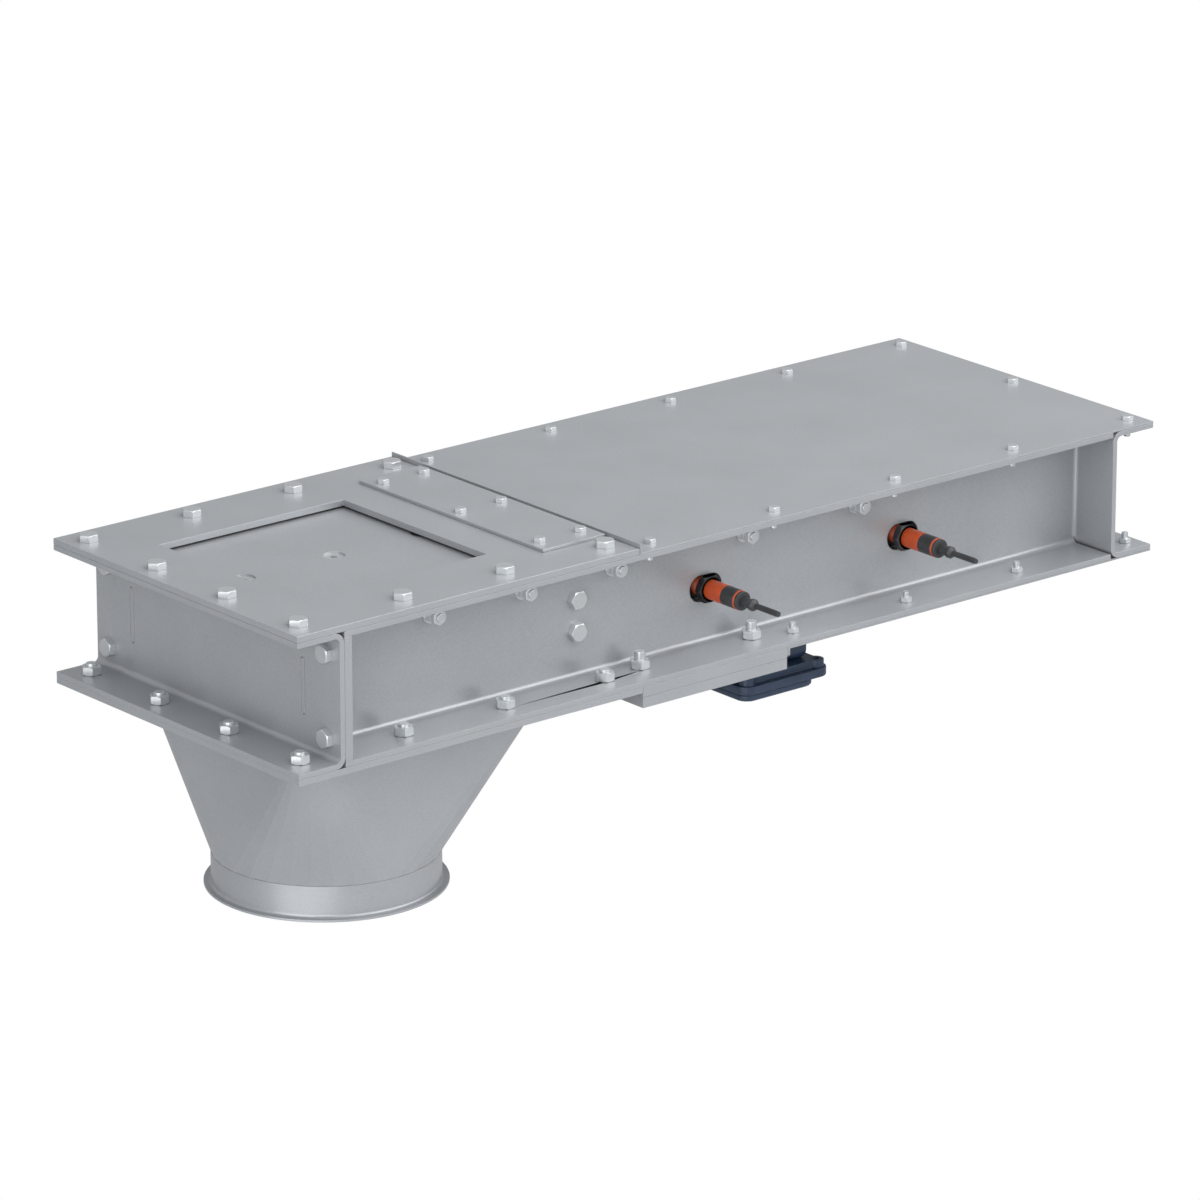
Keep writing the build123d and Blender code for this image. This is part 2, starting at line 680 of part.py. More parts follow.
def make_gear_case():
    """Worm gear case under the drive plates: round at the wheel, square at the worm."""
    half = motor_size / 2 - 2
    wheel = Pos(pinion_x, pinion_y) * Circle(case_radius)
    worm = Pos((pinion_x - case_radius + motor_x) / 2, 0) * Rectangle(
        motor_x - pinion_x + case_radius, 2 * half)
    outline = wheel + worm
    body = Pos(0, 0, drive_plate_bottom - case_depth) * extrude(outline, case_depth)
    low = [e for e in body.edges() if abs(e.center().Z - (drive_plate_bottom - case_depth)) < 0.1]
    body = fillet([e for e in low if e.center().X < motor_x - 1], case_edge)
    bore_depth = shaft_depth + 2
    bore = Cylinder(shaft_diameter / 2 + running_clearance, bore_depth)
    body -= Pos(pinion_x, pinion_y, drive_plate_bottom - bore_depth / 2) * bore
    depth = 2 * m8[0]
    for x, y in case_screw_places:
        hole = Cylinder((m8[0] + thread_play) / 2, depth)
        body -= Pos(x, y, drive_plate_bottom - depth / 2) * hole
    return body


def make_gear_case_cap():
    """Round bearing cap under the gear case."""
    cap = Cylinder(case_cap_diameter / 2, case_cap_thickness)
    cap = chamfer(cap.edges().group_by(Axis.Z)[0], 1.0)
    return Pos(pinion_x, pinion_y, drive_plate_bottom - case_depth - case_cap_thickness / 2) * cap


def motor_section(size, corner):
    section = Rectangle(size, size)
    return fillet(section.vertices(), corner)


def motor_block(start, length, section):
    face = Plane(origin=(start, 0, motor_axis_z), x_dir=(0, 1, 0), z_dir=(1, 0, 0))
    return extrude(face * section, length)


def make_motor_body():
    """Square motor housing, ribbed on its two sides."""
    section = motor_section(motor_size, motor_corner)
    groove = Rectangle(2 * motor_rib_depth, motor_rib_gap / 2)
    for side in (-1, 1):
        for i in range(-3, 4):
            section -= Pos(side * motor_size / 2, i * motor_rib_gap) * groove
    return motor_block(motor_x, motor_length, section)


def make_motor_ring():
    return motor_block(motor_x + motor_length, motor_ring_thickness,
                       motor_section(motor_size, motor_corner))


def make_motor_cap():
    start = motor_x + motor_length + motor_ring_thickness
    body = motor_block(start, motor_cap_length, motor_section(motor_size, motor_corner))
    rear = body.edges().group_by(Axis.X)[-1]
    return chamfer(rear, 1.5)


def rounded_block(x0, x1, width, corner, top, depth):
    outline = Rectangle(x1 - x0, width)
    outline = fillet(outline.vertices(), corner)
    return Pos((x0 + x1) / 2, 0, top - depth) * extrude(outline, depth)


def boss_places(length):
    """Middles of four corner bosses on a length of the terminal box."""
    inset = boss_diameter / 2 + box_top_inset
    ends = (box_start + inset, box_start + length - inset)
    return [(x, side * (box_width / 2 - inset)) for x in ends for side in (-1, 1)]


def make_terminal_box():
    """Two-step box under the motor with a boss at each corner of its lid."""
    top = motor_bottom
    rim_top = top - box_top_depth
    waist = box_top_inset + boss_bulge
    body = rounded_block(box_start + waist, box_start + box_length - waist,
                         box_width - 2 * waist, box_corner - box_top_inset, top, box_top_depth)
    boss = tube(boss_diameter, 0, rim_top, top)
    body += [Pos(x, y, 0) * boss for x, y in boss_places(box_length)]
    body += rounded_block(box_start, box_start + box_length, box_width, box_corner, rim_top,
                          box_rim_depth)
    pit = tube(boss_pit, 0, top - boss_pit_depth, top)
    return body - [Pos(x, y, 0) * pit for x, y in boss_places(box_length)]


def make_terminal_lid():
    top = motor_bottom - box_top_depth - box_rim_depth
    body = rounded_block(box_start, box_start + lid_length, box_width, box_corner, top, lid_depth)
    low = body.edges().group_by(Axis.Z)[0]
    body = chamfer(low, 1.5)
    return body - drill(boss_places(lid_length), m6[0] + hole_play, top, top - lid_depth)


def make_terminal_screws():
    """Screws that hold the lid, heads sunk level with it."""
    top = motor_bottom - box_top_depth - box_rim_depth
    screw = Cylinder(m6[0] / 2, lid_depth)
    return group(Pos(x, y, top - lid_depth / 2) * screw for x, y in boss_places(lid_length))


def make_cable_gland():
    """Closed gland on the far side of the terminal box."""
    z = motor_bottom - box_top_depth - box_rim_depth / 2
    dome = tube(0.8 * gland_diameter, 0, 0, gland_length)
    dome = fillet(dome.edges().group_by(Axis.Z)[-1], gland_diameter / 6)
    body = hexagon(gland_diameter, gland_length / 3) + dome
    return Pos(box_start + lid_length / 2, box_width / 2, z) * Rot(-90, 0, 0) * body


def countersinks():
    """Cone and straight mouth round the head of each rack screw."""
    rim = csk_diameter / 2 + csk_play
    depth = (csk_diameter - m10[0]) / 2
    sinks = []
    for x in rack_screw_x:
        sinks.append(Pos(x, 0, slide_top - csk_below - depth / 2) * Cone(rim - depth, rim, depth))
        sinks.append(Pos(x, 0, slide_top - csk_below / 2) * Cylinder(rim, csk_below))
    return sinks


def make_slide_plate():
    body = plate(slide_start, slide_end, slide_width, slide_top, slide_thickness)
    body -= countersinks()
    body -= drill([(x, 0.0) for x in rack_screw_x], m10[0] + 2 * csk_play, slide_top,
                  slide_bottom)
    return body - drill(flag_screw_places(), m6[0] + thread_play, slide_top, slide_bottom)


def make_rack():
    """Toothed bar under the sliding plate, teeth towards the pinion."""
    pitch = pi * gear_module
    slope = tan(radians(pressure_angle))
    tip_y = pitch_line_y + gear_module
    root_y = pitch_line_y - 1.25 * gear_module
    half_tooth = pitch / 4 - backlash / 4
    start = slide_start + rack_end_gap
    end = slide_end - rack_tail_gap
    first = int((start - pinion_x) / pitch) - 1
    last = int((end - pinion_x) / pitch) + 1
    teeth = []
    for i in range(first, last + 1):
        middle = pinion_x + (i + 0.5) * pitch
        wide = half_tooth + 1.25 * gear_module * slope
        narrow = half_tooth - gear_module * slope
        if middle - wide < start + 1 or middle + wide > end - 1:
            continue
        teeth += [(middle - wide, root_y), (middle - narrow, tip_y),
                  (middle + narrow, tip_y), (middle + wide, root_y)]
    back = pitch_line_y - rack_back
    line = Polyline((start, back), (start, root_y), *teeth, (end, root_y), (end, back), close=True)
    body = Pos(0, 0, rack_bottom) * extrude(make_face(line), rack_height)
    body -= countersinks()
    return body - drill([(x, 0.0) for x in rack_screw_x], m10[0] + thread_play, slide_bottom,
                        rack_bottom)


def make_rack_screws():
    """Countersunk screws with a hexagon socket."""
    depth = (csk_diameter - m10[0]) / 2
    length = slide_thickness + rack_height - 2 * csk_below
    head = Pos(0, 0, -depth / 2) * Cone(m10[0] / 2, csk_diameter / 2, depth)
    shank = Pos(0, 0, -length / 2) * Cylinder(m10[0] / 2, length)
    socket = Pos(0, 0, -depth * 0.7) * hexagon(socket_flats, depth)
    screw = head + shank - socket
    return group(Pos(x, 0, slide_top - csk_below) * screw for x in rack_screw_x)


def flag_screw_places():
    middle = -flag_y + flag_foot / 2
    return [(sensor_x + s * flag_screw_pitch / 2, middle) for s in (-1, 1)]


def make_switching_flag():
    """Bent plate that hangs from the sliding plate in front of the sensors."""
    low = sensor_z - flag_below_axis
    line = Polyline((-flag_y, slide_bottom), (-flag_y + flag_foot, slide_bottom),
                    (-flag_y + flag_foot, slide_bottom - flag_thickness),
                    (-flag_y + flag_thickness, slide_bottom - flag_thickness),
                    (-flag_y + flag_thickness, low), (-flag_y, low), close=True)
    face = make_face(line)
    outer = [v for v in face.vertices() if abs(v.X + flag_y) < 0.01 and v.Y > slide_bottom - 1]
    face = fillet(outer, flag_thickness)
    section = Plane(origin=(sensor_x - flag_width / 2, 0, 0), x_dir=(0, 1, 0), z_dir=(1, 0, 0))
    body = extrude(section * face, flag_width)
    return body - drill(flag_screw_places(), m6[0] + hole_play, slide_bottom,
                        slide_bottom - flag_thickness)


def make_flag_screws():
    length = flag_thickness + slide_thickness - 1
    screw = Pos(0, 0, slide_bottom - flag_thickness) * Rot(180, 0, 0) * hex_screw(m6, length)
    return group(Pos(x, y, 0) * screw for x, y in flag_screw_places())


def involute(base, radius):
    """Polar angle that an involute has turned at a radius."""
    roll = sqrt((radius / base) ** 2 - 1)
    return roll - atan(roll)


def make_pinion():
    """Spur pinion with involute flanks, one tooth centred on the rack at rest."""
    base = pitch_radius * cos(radians(pressure_angle))
    tip = pitch_radius + gear_module
    root = pitch_radius - 1.25 * gear_module
    half_angle = pi / (2 * pinion_teeth) - backlash / 4 / pitch_radius
    pitch_turn = involute(base, pitch_radius)
    radii = row(base + 0.05, tip, 5)
    points = []
    for i in range(pinion_teeth):
        middle = -pi / 2 + 2 * pi * i / pinion_teeth
        flank = [(r, half_angle + pitch_turn - involute(base, r)) for r in radii]
        left = [(r, middle - a) for r, a in flank]
        right = [(r, middle + a) for r, a in reversed(flank)]
        foot = flank[0][1]
        points += [(root, middle - foot), *left, *right, (root, middle + foot)]
    line = Polyline(*[(r * cos(a), r * sin(a)) for r, a in points], close=True)
    body = Pos(0, 0, pinion_bottom) * extrude(make_face(line), pinion_width)
    middle_z = (pinion_top + pinion_bottom) / 2
    body -= Pos(0, 0, middle_z) * Cylinder(pinion_bore / 2, pinion_width)
    depth = retainer_thickness + retainer_below
    sink = Cylinder((retainer_diameter + hole_play) / 2, depth)
    body -= Pos(0, 0, pinion_top - depth / 2) * sink
    keyway = Box(key_width, key_width, pinion_width)
    body -= Pos(pinion_bore / 2, 0, middle_z) * keyway
    return Pos(pinion_x, pinion_y, 0) * body


def make_output_shaft():
    """Stepped shaft from the gear case up to the pinion."""
    low = drive_plate_bottom - shaft_depth
    top = pinion_top - retainer_thickness - retainer_below
    seat, journal = pinion_bore / 2, shaft_diameter / 2
    line = Polyline((0, low), (journal, low), (journal, pinion_bottom), (seat, pinion_bottom),
                    (seat, top), (0, top), close=True)
    body = revolve(Plane.XZ * make_face(line), Axis.Z)
    keyway = Box(key_width, key_width, key_length)
    body -= Pos(seat, 0, top - key_length / 2) * keyway
    return Pos(pinion_x, pinion_y, 0) * body


def make_pinion_fixings():
    """Key and sunk retaining screw that hold the pinion on its shaft."""
    shaft_top = pinion_top - retainer_thickness - retainer_below
    key = Pos(pinion_bore / 2, 0, shaft_top - key_length / 2) * Box(key_width, key_width,
                                                                   key_length)
    disc = Pos(0, 0, shaft_top) * extrude(Circle(retainer_diameter / 2), retainer_thickness)
    socket_depth = retainer_thickness / 2
    socket = Pos(0, 0, shaft_top + retainer_thickness - socket_depth) * hexagon(
        socket_flats, 2 * socket_depth)
    return group(Pos(pinion_x, pinion_y, 0) * piece for piece in (key, disc - socket))


def along_near_side(solid, x, y, z):
    """Turn a solid that points up so that it points out of the near side."""
    return Pos(x, y, z) * Rot(90, 0, 0) * solid


def tube(outer, inner, start, end):
    """Upright tube between two heights."""
    ring = Circle(outer / 2) - Circle(inner / 2) if inner else Circle(outer / 2)
    return Pos(0, 0, start) * extrude(ring, end - start)


def make_sensor(x):
    """Orange sensor barrel, with the narrower neck that the sleeve sits on."""
    inside = web_out_y - sensor_face_y
    neck = sensor_diameter - 1.0
    full = sensor_reach
    body = tube(sensor_diameter, 0, -inside, full)
    body += tube(neck, 0, full, full + sensor_sleeve)
    body += tube(sensor_diameter, 0, full + sensor_sleeve, full + sensor_sleeve + sensor_ring)
    return along_near_side(body, x, -web_out_y, sensor_z)


def make_sensor_sleeves():
    neck = sensor_diameter - 1.0
    body = tube(sensor_diameter, neck, sensor_reach, sensor_reach + sensor_sleeve)
    return group(along_near_side(body, x, -web_out_y, sensor_z) for x in sensor_places)


def make_sensor_nuts():
    """One nut outside the web and two that clamp the inner bracket."""
    bore = Cylinder((sensor_diameter + thread_play) / 2, 4 * sensor_outer_nut)
    outer = hexagon(sensor_nut_flats, sensor_outer_nut) - bore
    inner = hexagon(sensor_nut_flats, sensor_inner_nut) - bore
    stand = channel_wall + sensor_bracket_stand
    front = sensor_bracket_thickness - stand
    nuts = []
    for x in sensor_places:
        nuts.append(along_near_side(outer, x, -web_out_y, sensor_z))
        nuts.append(along_near_side(Pos(0, 0, front) * inner, x, -web_out_y, sensor_z))
        nuts.append(along_near_side(Pos(0, 0, -stand - sensor_inner_nut) * inner, x,
                                    -web_out_y, sensor_z))
    return group(nuts)


def make_sensor_plugs():
    """Black end caps with the moulded cable outlet."""
    start = sensor_reach + sensor_sleeve + sensor_ring
    cap = start + sensor_cap
    body = tube(sensor_diameter - 0.6, 0, start, cap)
    body += tube(plug_diameter, 0, cap, cap + plug_length)
    body += tube(collar_diameter, 0, cap + plug_length - 2, cap + plug_length + collar_length - 2)
    body += tube(tail_diameter, 0, cap + plug_length, cap + plug_length + tail_length)
    return group(along_near_side(body, x, -web_out_y, sensor_z) for x in sensor_places)


def make_sensor_brackets():
    """Bent straps welded inside the near web, one for each sensor."""
    t = sensor_bracket_thickness
    half = sensor_bracket_width / 2
    foot = half + sensor_bracket_foot
    stand = sensor_bracket_stand
    line = Polyline((-foot, 0), (-half + t, 0), (-half + t, stand - t), (half - t, stand - t),
                    (half - t, 0), (foot, 0), (foot, t), (half, t), (half, stand),
                    (-half, stand), (-half, t), (-foot, t), close=True)
    strap = extrude(make_face(line), sensor_bracket_height)
    straps = []
    for x in sensor_places:
        body = Pos(x, -web_y, sensor_z - sensor_bracket_height / 2) * strap
        hole = Rot(90, 0, 0) * Cylinder((sensor_diameter + hole_play) / 2, 6 * stand)
        straps.append(body - Pos(x, -web_y, sensor_z) * hole)
    return group(straps)


def make_inlet_screws():
    length = inlet_plate_thickness + channel_wall + screw_tip
    screw = hex_screw(m10, length)
    return group(Pos(x, y, 0) * screw for x, y in m10_places)


def make_cover_screws():
    screw = Pos(0, 0, channel_top + cover_thickness) * hex_screw(m6, cover_screw_length)
    return group(Pos(x, y, 0) * screw for x, y in cover_places)


def make_clamp_screws():
    length = clamp_plate_thickness + inlet_plate_thickness
    screw = Pos(0, 0, clamp_plate_thickness) * hex_screw(m6, length)
    return group(Pos(x, y, 0) * screw for x, y in clamp_places)


def make_end_web_bolts():
    length = channel_wall + end_bar_thickness
    bolt = Rot(0, -90, 0) * hex_screw(m10, length)
    x = front_web_x - channel_wall
    return group(Pos(x, y, z) * bolt for y, z in end_bolt_places)


def side_places():
    return [(side, channel_top - drop) for side in (-1, 1) for drop in partition_bolt_drops]


def outwards(side):
    """Turn from up to out of one side of the body."""
    return Rot(-90 * side, 0, 0)


def make_partition_bolts():
    length = 2 * channel_wall + m10[0] * nut_ratio + bolt_tip
    bolt = hex_screw(m10, length)
    x = partition_x + partition_bolt_x
    return group(Pos(x, side * web_out_y, z) * outwards(side) * bolt for side, z in side_places())


def make_partition_nuts():
    x = partition_x + partition_bolt_x
    inside = web_y - channel_wall
    return group(Pos(x, side * inside, z) * outwards(-side) * hex_nut(m10)
                 for side, z in side_places())


def rail_places():
    return [(x, side) for side in (-1, 1) for x in rail_bolt_x]


def make_rail_bolts():
    """Screws from the rails out through the web, with a rounded end."""
    nuts = rail_nut_pair * m8[0] * nut_ratio
    reach = channel_wall + rail_washer_thickness + nuts + rail_bolt_tip
    length = rail_width + reach
    bolt = Pos(0, 0, length / 2 - rail_width) * Cylinder(m8[0] / 2, length)
    bolt = fillet(bolt.edges().group_by(Axis.Z)[-1], rail_bolt_dome)
    return group(Pos(x, side * web_y, rail_bolt_z) * outwards(side) * bolt
                 for x, side in rail_places())


def make_rail_nuts():
    """Washer, nut and lock nut on the outside of the web at each rail bolt."""
    washer = tube(rail_washer, m8[0] + hole_play, 0, rail_washer_thickness)
    flats_to_side = Rot(0, 0, 30)
    nuts = [Pos(0, 0, rail_washer_thickness + i * m8[0] * nut_ratio) * flats_to_side * hex_nut(m8)
            for i in range(rail_nut_pair)]
    return group(Pos(x, side * web_out_y, rail_bolt_z) * outwards(side) * piece
                 for x, side in rail_places() for piece in [washer] + nuts)


def bolts_from_below(size, places, seat, tip):
    """Bolts with their heads under a seat and their ends above the flange's nuts."""
    length = flange_over - seat + size[0] * nut_ratio + tip
    bolt = Pos(0, 0, seat) * Rot(180, 0, 0) * hex_screw(size, length)
    return group(Pos(x, y, 0) * bolt for x, y in places)


def nuts_on_flange(size, places):
    nut = Pos(0, 0, flange_over) * hex_nut(size)
    return group(Pos(x, y, 0) * nut for x, y in places)


def make_drive_screws():
    """Screws of the bearing column, and screws down into the gear case."""
    foot = channel_bottom + column_flange_thickness
    column = Pos(0, 0, foot) * hex_screw(m6, column_flange_thickness + drive_plate_thickness - 1)
    case = Pos(0, 0, channel_bottom) * hex_screw(m8, 2 * drive_plate_thickness + 2 * m8[0] - 1)
    screws = [Pos(x, y, 0) * column for x, y in column_screw_places]
    return group(screws + [Pos(x, y, 0) * case for x, y in case_screw_places])


nodes = {
    "inlet_plate": make_inlet_plate(),
    "seal_clamp_plate": make_clamp_plate(),
    "wiper_packing": make_packing(),
    "inlet_seal_frame": make_seal_frame(),
    "end_channel_inlet": make_end_channel_inlet(),
    "end_channel_rear": make_end_channel_rear(),
    "side_channel_near": make_side_channel(-1),
    "side_channel_far": make_side_channel(1),
    "end_bars": make_end_bars(),
    "top_cover": make_top_cover(),
    "bottom_cover": make_bottom_cover(),
    "partition": make_partition(),
    "guide_rail_near": make_guide_rail(-1),
    "guide_rail_far": make_guide_rail(1),
    "slide_strips": make_slide_strips(),
    "outlet_plate": make_outlet_plate(),
    "outlet_hopper": make_hopper(),
    "outlet_spigot": make_spigot(),
    "drive_plate_upper": make_drive_plate_upper(),
    "drive_plate_lower": make_drive_plate(channel_bottom - drive_plate_thickness),
    "bearing_column": make_bearing_column(),
    "shaft_bushes": make_shaft_bushes(),
    "gear_case": make_gear_case(),
    "gear_case_cap": make_gear_case_cap(),
    "motor_body": make_motor_body(),
    "motor_joint_ring": make_motor_ring(),
    "motor_end_cap": make_motor_cap(),
    "terminal_box": make_terminal_box(),
    "terminal_lid": make_terminal_lid(),
    "terminal_lid_screws": make_terminal_screws(),
    "cable_gland": make_cable_gland(),
    "slide_plate": make_slide_plate(),
    "rack": make_rack(),
    "rack_screws": make_rack_screws(),
    "switching_flag": make_switching_flag(),
    "flag_screws": make_flag_screws(),
    "pinion": make_pinion(),
    "output_shaft": make_output_shaft(),
    "pinion_fixings": make_pinion_fixings(),
    "sensor_closed": make_sensor(sensor_places[0]),
    "sensor_open": make_sensor(sensor_places[1]),
    "sensor_sleeves": make_sensor_sleeves(),
    "sensor_nuts": make_sensor_nuts(),
    "sensor_plugs": make_sensor_plugs(),
    "sensor_brackets": make_sensor_brackets(),
    "inlet_plate_screws": make_inlet_screws(),
    "top_cover_screws": make_cover_screws(),
    "seal_clamp_screws": make_clamp_screws(),
    "end_web_bolts": make_end_web_bolts(),
    "partition_bolts": make_partition_bolts(),
    "partition_nuts": make_partition_nuts(),
    "rail_bolts": make_rail_bolts(),
    "rail_nuts": make_rail_nuts(),
    "outlet_plate_bolts": bolts_from_below(m10, m10_places, outlet_plate_bottom, bolt_tip),
    "outlet_plate_nuts": nuts_on_flange(m10, m10_places),
    "drive_plate_bolts": bolts_from_below(m10, stud_places, drive_plate_bottom, stud_tip),
    "drive_plate_nuts": nuts_on_flange(m10, stud_places),
    "bottom_cover_bolts": bolts_from_below(m6, bottom_places, channel_bottom - cover_thickness,
                                           cover_tip),
    "bottom_cover_nuts": nuts_on_flange(m6, bottom_places),
    "drive_screws": make_drive_screws(),
}

os.makedirs("parts", exist_ok=True)
for name, shape in nodes.items():
    export_step(shape, f"parts/{name}.step")
print(len(nodes), "nodes")
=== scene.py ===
# %% [markdown]
# # Silo outlet gate
# A slide gate that hangs under a silo: bent stainless sheet, bright screws, two orange
# position sensors and a dark blue drive. The solid model gives every piece its size and place.
# This script dresses it: it softens sharp edges, cuts real hexagons, and gives each piece a
# finish that looks the way its surface was made.

# %% Load the solid model
import bpy
import json
from math import pi, radians, sqrt, tan
from mathutils import Matrix, Vector

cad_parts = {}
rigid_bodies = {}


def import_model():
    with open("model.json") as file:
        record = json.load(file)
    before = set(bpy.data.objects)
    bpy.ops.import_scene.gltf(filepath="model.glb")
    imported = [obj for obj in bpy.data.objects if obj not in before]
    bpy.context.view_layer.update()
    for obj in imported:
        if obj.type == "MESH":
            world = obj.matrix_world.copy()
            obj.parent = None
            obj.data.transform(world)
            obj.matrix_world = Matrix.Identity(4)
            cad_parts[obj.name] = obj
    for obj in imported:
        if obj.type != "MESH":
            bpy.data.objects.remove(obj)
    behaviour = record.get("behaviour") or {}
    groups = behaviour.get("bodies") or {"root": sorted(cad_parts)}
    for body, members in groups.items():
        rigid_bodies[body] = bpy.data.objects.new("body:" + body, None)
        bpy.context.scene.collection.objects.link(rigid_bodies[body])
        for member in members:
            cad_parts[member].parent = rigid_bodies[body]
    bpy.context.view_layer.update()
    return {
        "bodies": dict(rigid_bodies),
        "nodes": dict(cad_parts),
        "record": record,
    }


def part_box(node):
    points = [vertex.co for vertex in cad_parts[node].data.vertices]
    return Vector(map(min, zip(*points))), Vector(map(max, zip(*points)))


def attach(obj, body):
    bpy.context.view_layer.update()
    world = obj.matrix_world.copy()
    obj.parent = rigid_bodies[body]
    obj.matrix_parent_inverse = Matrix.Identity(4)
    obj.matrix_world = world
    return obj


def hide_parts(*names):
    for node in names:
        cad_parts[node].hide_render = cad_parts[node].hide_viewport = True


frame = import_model()
MM = 0.001
MERGE = 0.002 * MM               # points nearer than this are the same point
SAME = 1e-6                      # two heights closer than this are equal, in metres
print("pieces from the solid model:", len(frame["nodes"]))

# %% [markdown]
# Operators act on everything that is selected, and loading leaves the whole model selected.
# So each step begins by clearing the selection and naming the one object that it works on.


# %% Selection helpers
def pick(*objects):
    """Selects only these objects, and makes the first one active."""
    if bpy.context.object and bpy.context.object.mode != "OBJECT":
        bpy.ops.object.mode_set(mode="OBJECT")
    bpy.ops.object.select_all(action="DESELECT")
    for thing in objects:
        thing.select_set(True)
    bpy.context.view_layer.objects.active = objects[0]


def edit(thing, kind="FACE", chosen=None):
    """Opens a piece in edit mode with the chosen faces, edges or points selected."""
    pick(thing)
    mesh = thing.data
    for point in mesh.vertices:
        point.select = False
    for edge in mesh.edges:
        edge.select = False
    for face in mesh.polygons:
        face.select = chosen is None or (kind == "FACE" and chosen(face))
    if kind == "EDGE" and chosen:
        for edge in mesh.edges:
            a, b = (mesh.vertices[i].co for i in edge.vertices)
            edge.select = chosen(a, b)
    bpy.ops.object.mode_set(mode="EDIT")
    bpy.ops.mesh.select_mode(type=kind)
    if chosen is None:
        bpy.ops.mesh.select_all(action="SELECT")


def done():
    bpy.ops.object.mode_set(mode="OBJECT")


def settle(thing):
    """Moves a piece's place into its mesh, so that its object sits at the origin."""
    pick(thing)
    bpy.ops.object.transform_apply(location=True, rotation=True, scale=True)


def apply_modifier(thing, kind, **settings):
    pick(thing)
    modifier = thing.modifiers.new(kind.title(), kind)
    for key, value in settings.items():
        setattr(modifier, key, value)
    bpy.ops.object.modifier_apply(modifier=modifier.name)


def shade(thing, degrees=30):
    """Smooths bends and keeps flats flat: large faces decide the direction at their corners."""
    pick(thing)
    bpy.ops.object.shade_smooth_by_angle(angle=radians(degrees))
    apply_modifier(thing, "WEIGHTED_NORMAL", keep_sharp=True, weight=60)


print("selection helpers ready")

# %% [markdown]
# A finish is a small network of nodes. Two helpers are enough for all of them: one turns the
# colour that a screen shows into the linear value that the shader wants, and one adds a node
# with its settings and its links.


# %% Material helpers
def colour(code):
    """Linear colour from an sRGB hex value."""
    parts = [int(code[i:i + 2], 16) / 255 for i in (0, 2, 4)]
    linear = [p / 12.92 if p <= 0.04045 else ((p + 0.055) / 1.055) ** 2.4 for p in parts]
    return (*linear, 1.0)


def add(tree, kind, settings=None, **inputs):
    """Adds a node, sets its options, and fills or links its inputs by name."""
    node = tree.nodes.new("ShaderNode" + kind)
    for key, value in (settings or {}).items():
        setattr(node, key, value)
    for key, value in inputs.items():
        socket = node.inputs[int(key[1:])] if key[0] == "i" and key[1:].isdigit() else \
            node.inputs[key.replace("_", " ")]
        if isinstance(value, bpy.types.NodeSocket):
            tree.links.new(value, socket)
        else:
            socket.default_value = value
    return node


def blend_colours(tree, factor, low, high, a, b):
    """Colour that goes from a to b as the factor goes from low to high."""
    ramp = add(tree, "ValToRGB", i0=factor)
    ramp.color_ramp.elements[0].position = low
    ramp.color_ramp.elements[0].color = a
    ramp.color_ramp.elements[1].position = high
    ramp.color_ramp.elements[1].color = b
    return ramp.outputs["Color"]


def spread(tree, factor, low, high, a, b):
    """Number that goes from a to b as the factor goes from low to high."""
    node = add(tree, "MapRange", i0=factor, i1=low, i2=high, i3=a, i4=b)
    return node.outputs[0]


def noise(tree, size_mm, detail=3.0, stretch=(1, 1, 1)):
    """Even noise whose patches are about this many millimetres across."""
    place = add(tree, "TexCoord").outputs["Object"]
    scaled = add(tree, "Mapping", i0=place, Scale=stretch)
    texture = add(tree, "TexNoise", Vector=scaled.outputs[0], Scale=1 / (size_mm * MM),
                  Detail=detail)
    return texture.outputs[0]


def new_finish(name):
    material = bpy.data.materials.new(name)
    material.use_nodes = True
    tree = material.node_tree
    return material, tree, tree.nodes["Principled BSDF"]


def relief(tree, shader, height, depth_mm):
    bump = add(tree, "Bump", Height=height, Distance=depth_mm * MM, Strength=1.0)
    tree.links.new(bump.outputs[0], shader.inputs["Normal"])


def worn_edges(tree, width_mm):
    """Grows towards 1 near an edge, from the angle between the bevelled and the true normal."""
    round_normal = add(tree, "Bevel", {"samples": 4}, Radius=width_mm * MM)
    true_normal = add(tree, "NewGeometry").outputs["Normal"]
    dot = add(tree, "VectorMath", {"operation": "DOT_PRODUCT"}, i0=round_normal.outputs[0],
              i1=true_normal)
    return spread(tree, dot.outputs["Value"], 1.0, 0.9, 0.0, 1.0)


print("material helpers ready")

# %% [markdown]
# **Stainless sheet, fine ground.** The sheets come from the mill with a fine ground face. From
# this distance the eye sees an even sandy grey with a soft, wide reflection, a little lighter
# and darker in patches as large as a hand. The grit is finer than a pixel, so it is drawn about
# 1 mm coarse, and it moves the roughness and the colour only a little.


# %% Sheet steel
def ground_steel(name, tint, dark, rough, grain_mm=1.1):
    material, tree, shader = new_finish(name)
    grain = noise(tree, grain_mm, 2.0)
    patches = noise(tree, 90, 2.0)
    mixed = add(tree, "Math", {"operation": "MULTIPLY_ADD"}, i0=patches, i1=0.5, i2=grain)
    base = blend_colours(tree, mixed.outputs[0], 0.5, 1.0, colour(dark), colour(tint))
    edge = worn_edges(tree, 0.25)
    bright = add(tree, "Mix", {"data_type": "RGBA"}, i0=edge, i6=base, i7=colour("B6B9BC"))
    tree.links.new(bright.outputs[2], shader.inputs["Base Color"])
    tree.links.new(spread(tree, mixed.outputs[0], 0.4, 1.1, rough + 0.05, rough - 0.04),
                   shader.inputs["Roughness"])
    shader.inputs["Metallic"].default_value = 0.48
    relief(tree, shader, grain, 0.012)
    return material


sheet_steel = ground_steel("stainless_sheet_ground", "AEB1B4", "A0A3A6", 0.34)
machined_steel = ground_steel("mild_steel_milled", "A4A7AA", "8F9295", 0.42, 0.8)
print("finish:", sheet_steel.name, machined_steel.name)

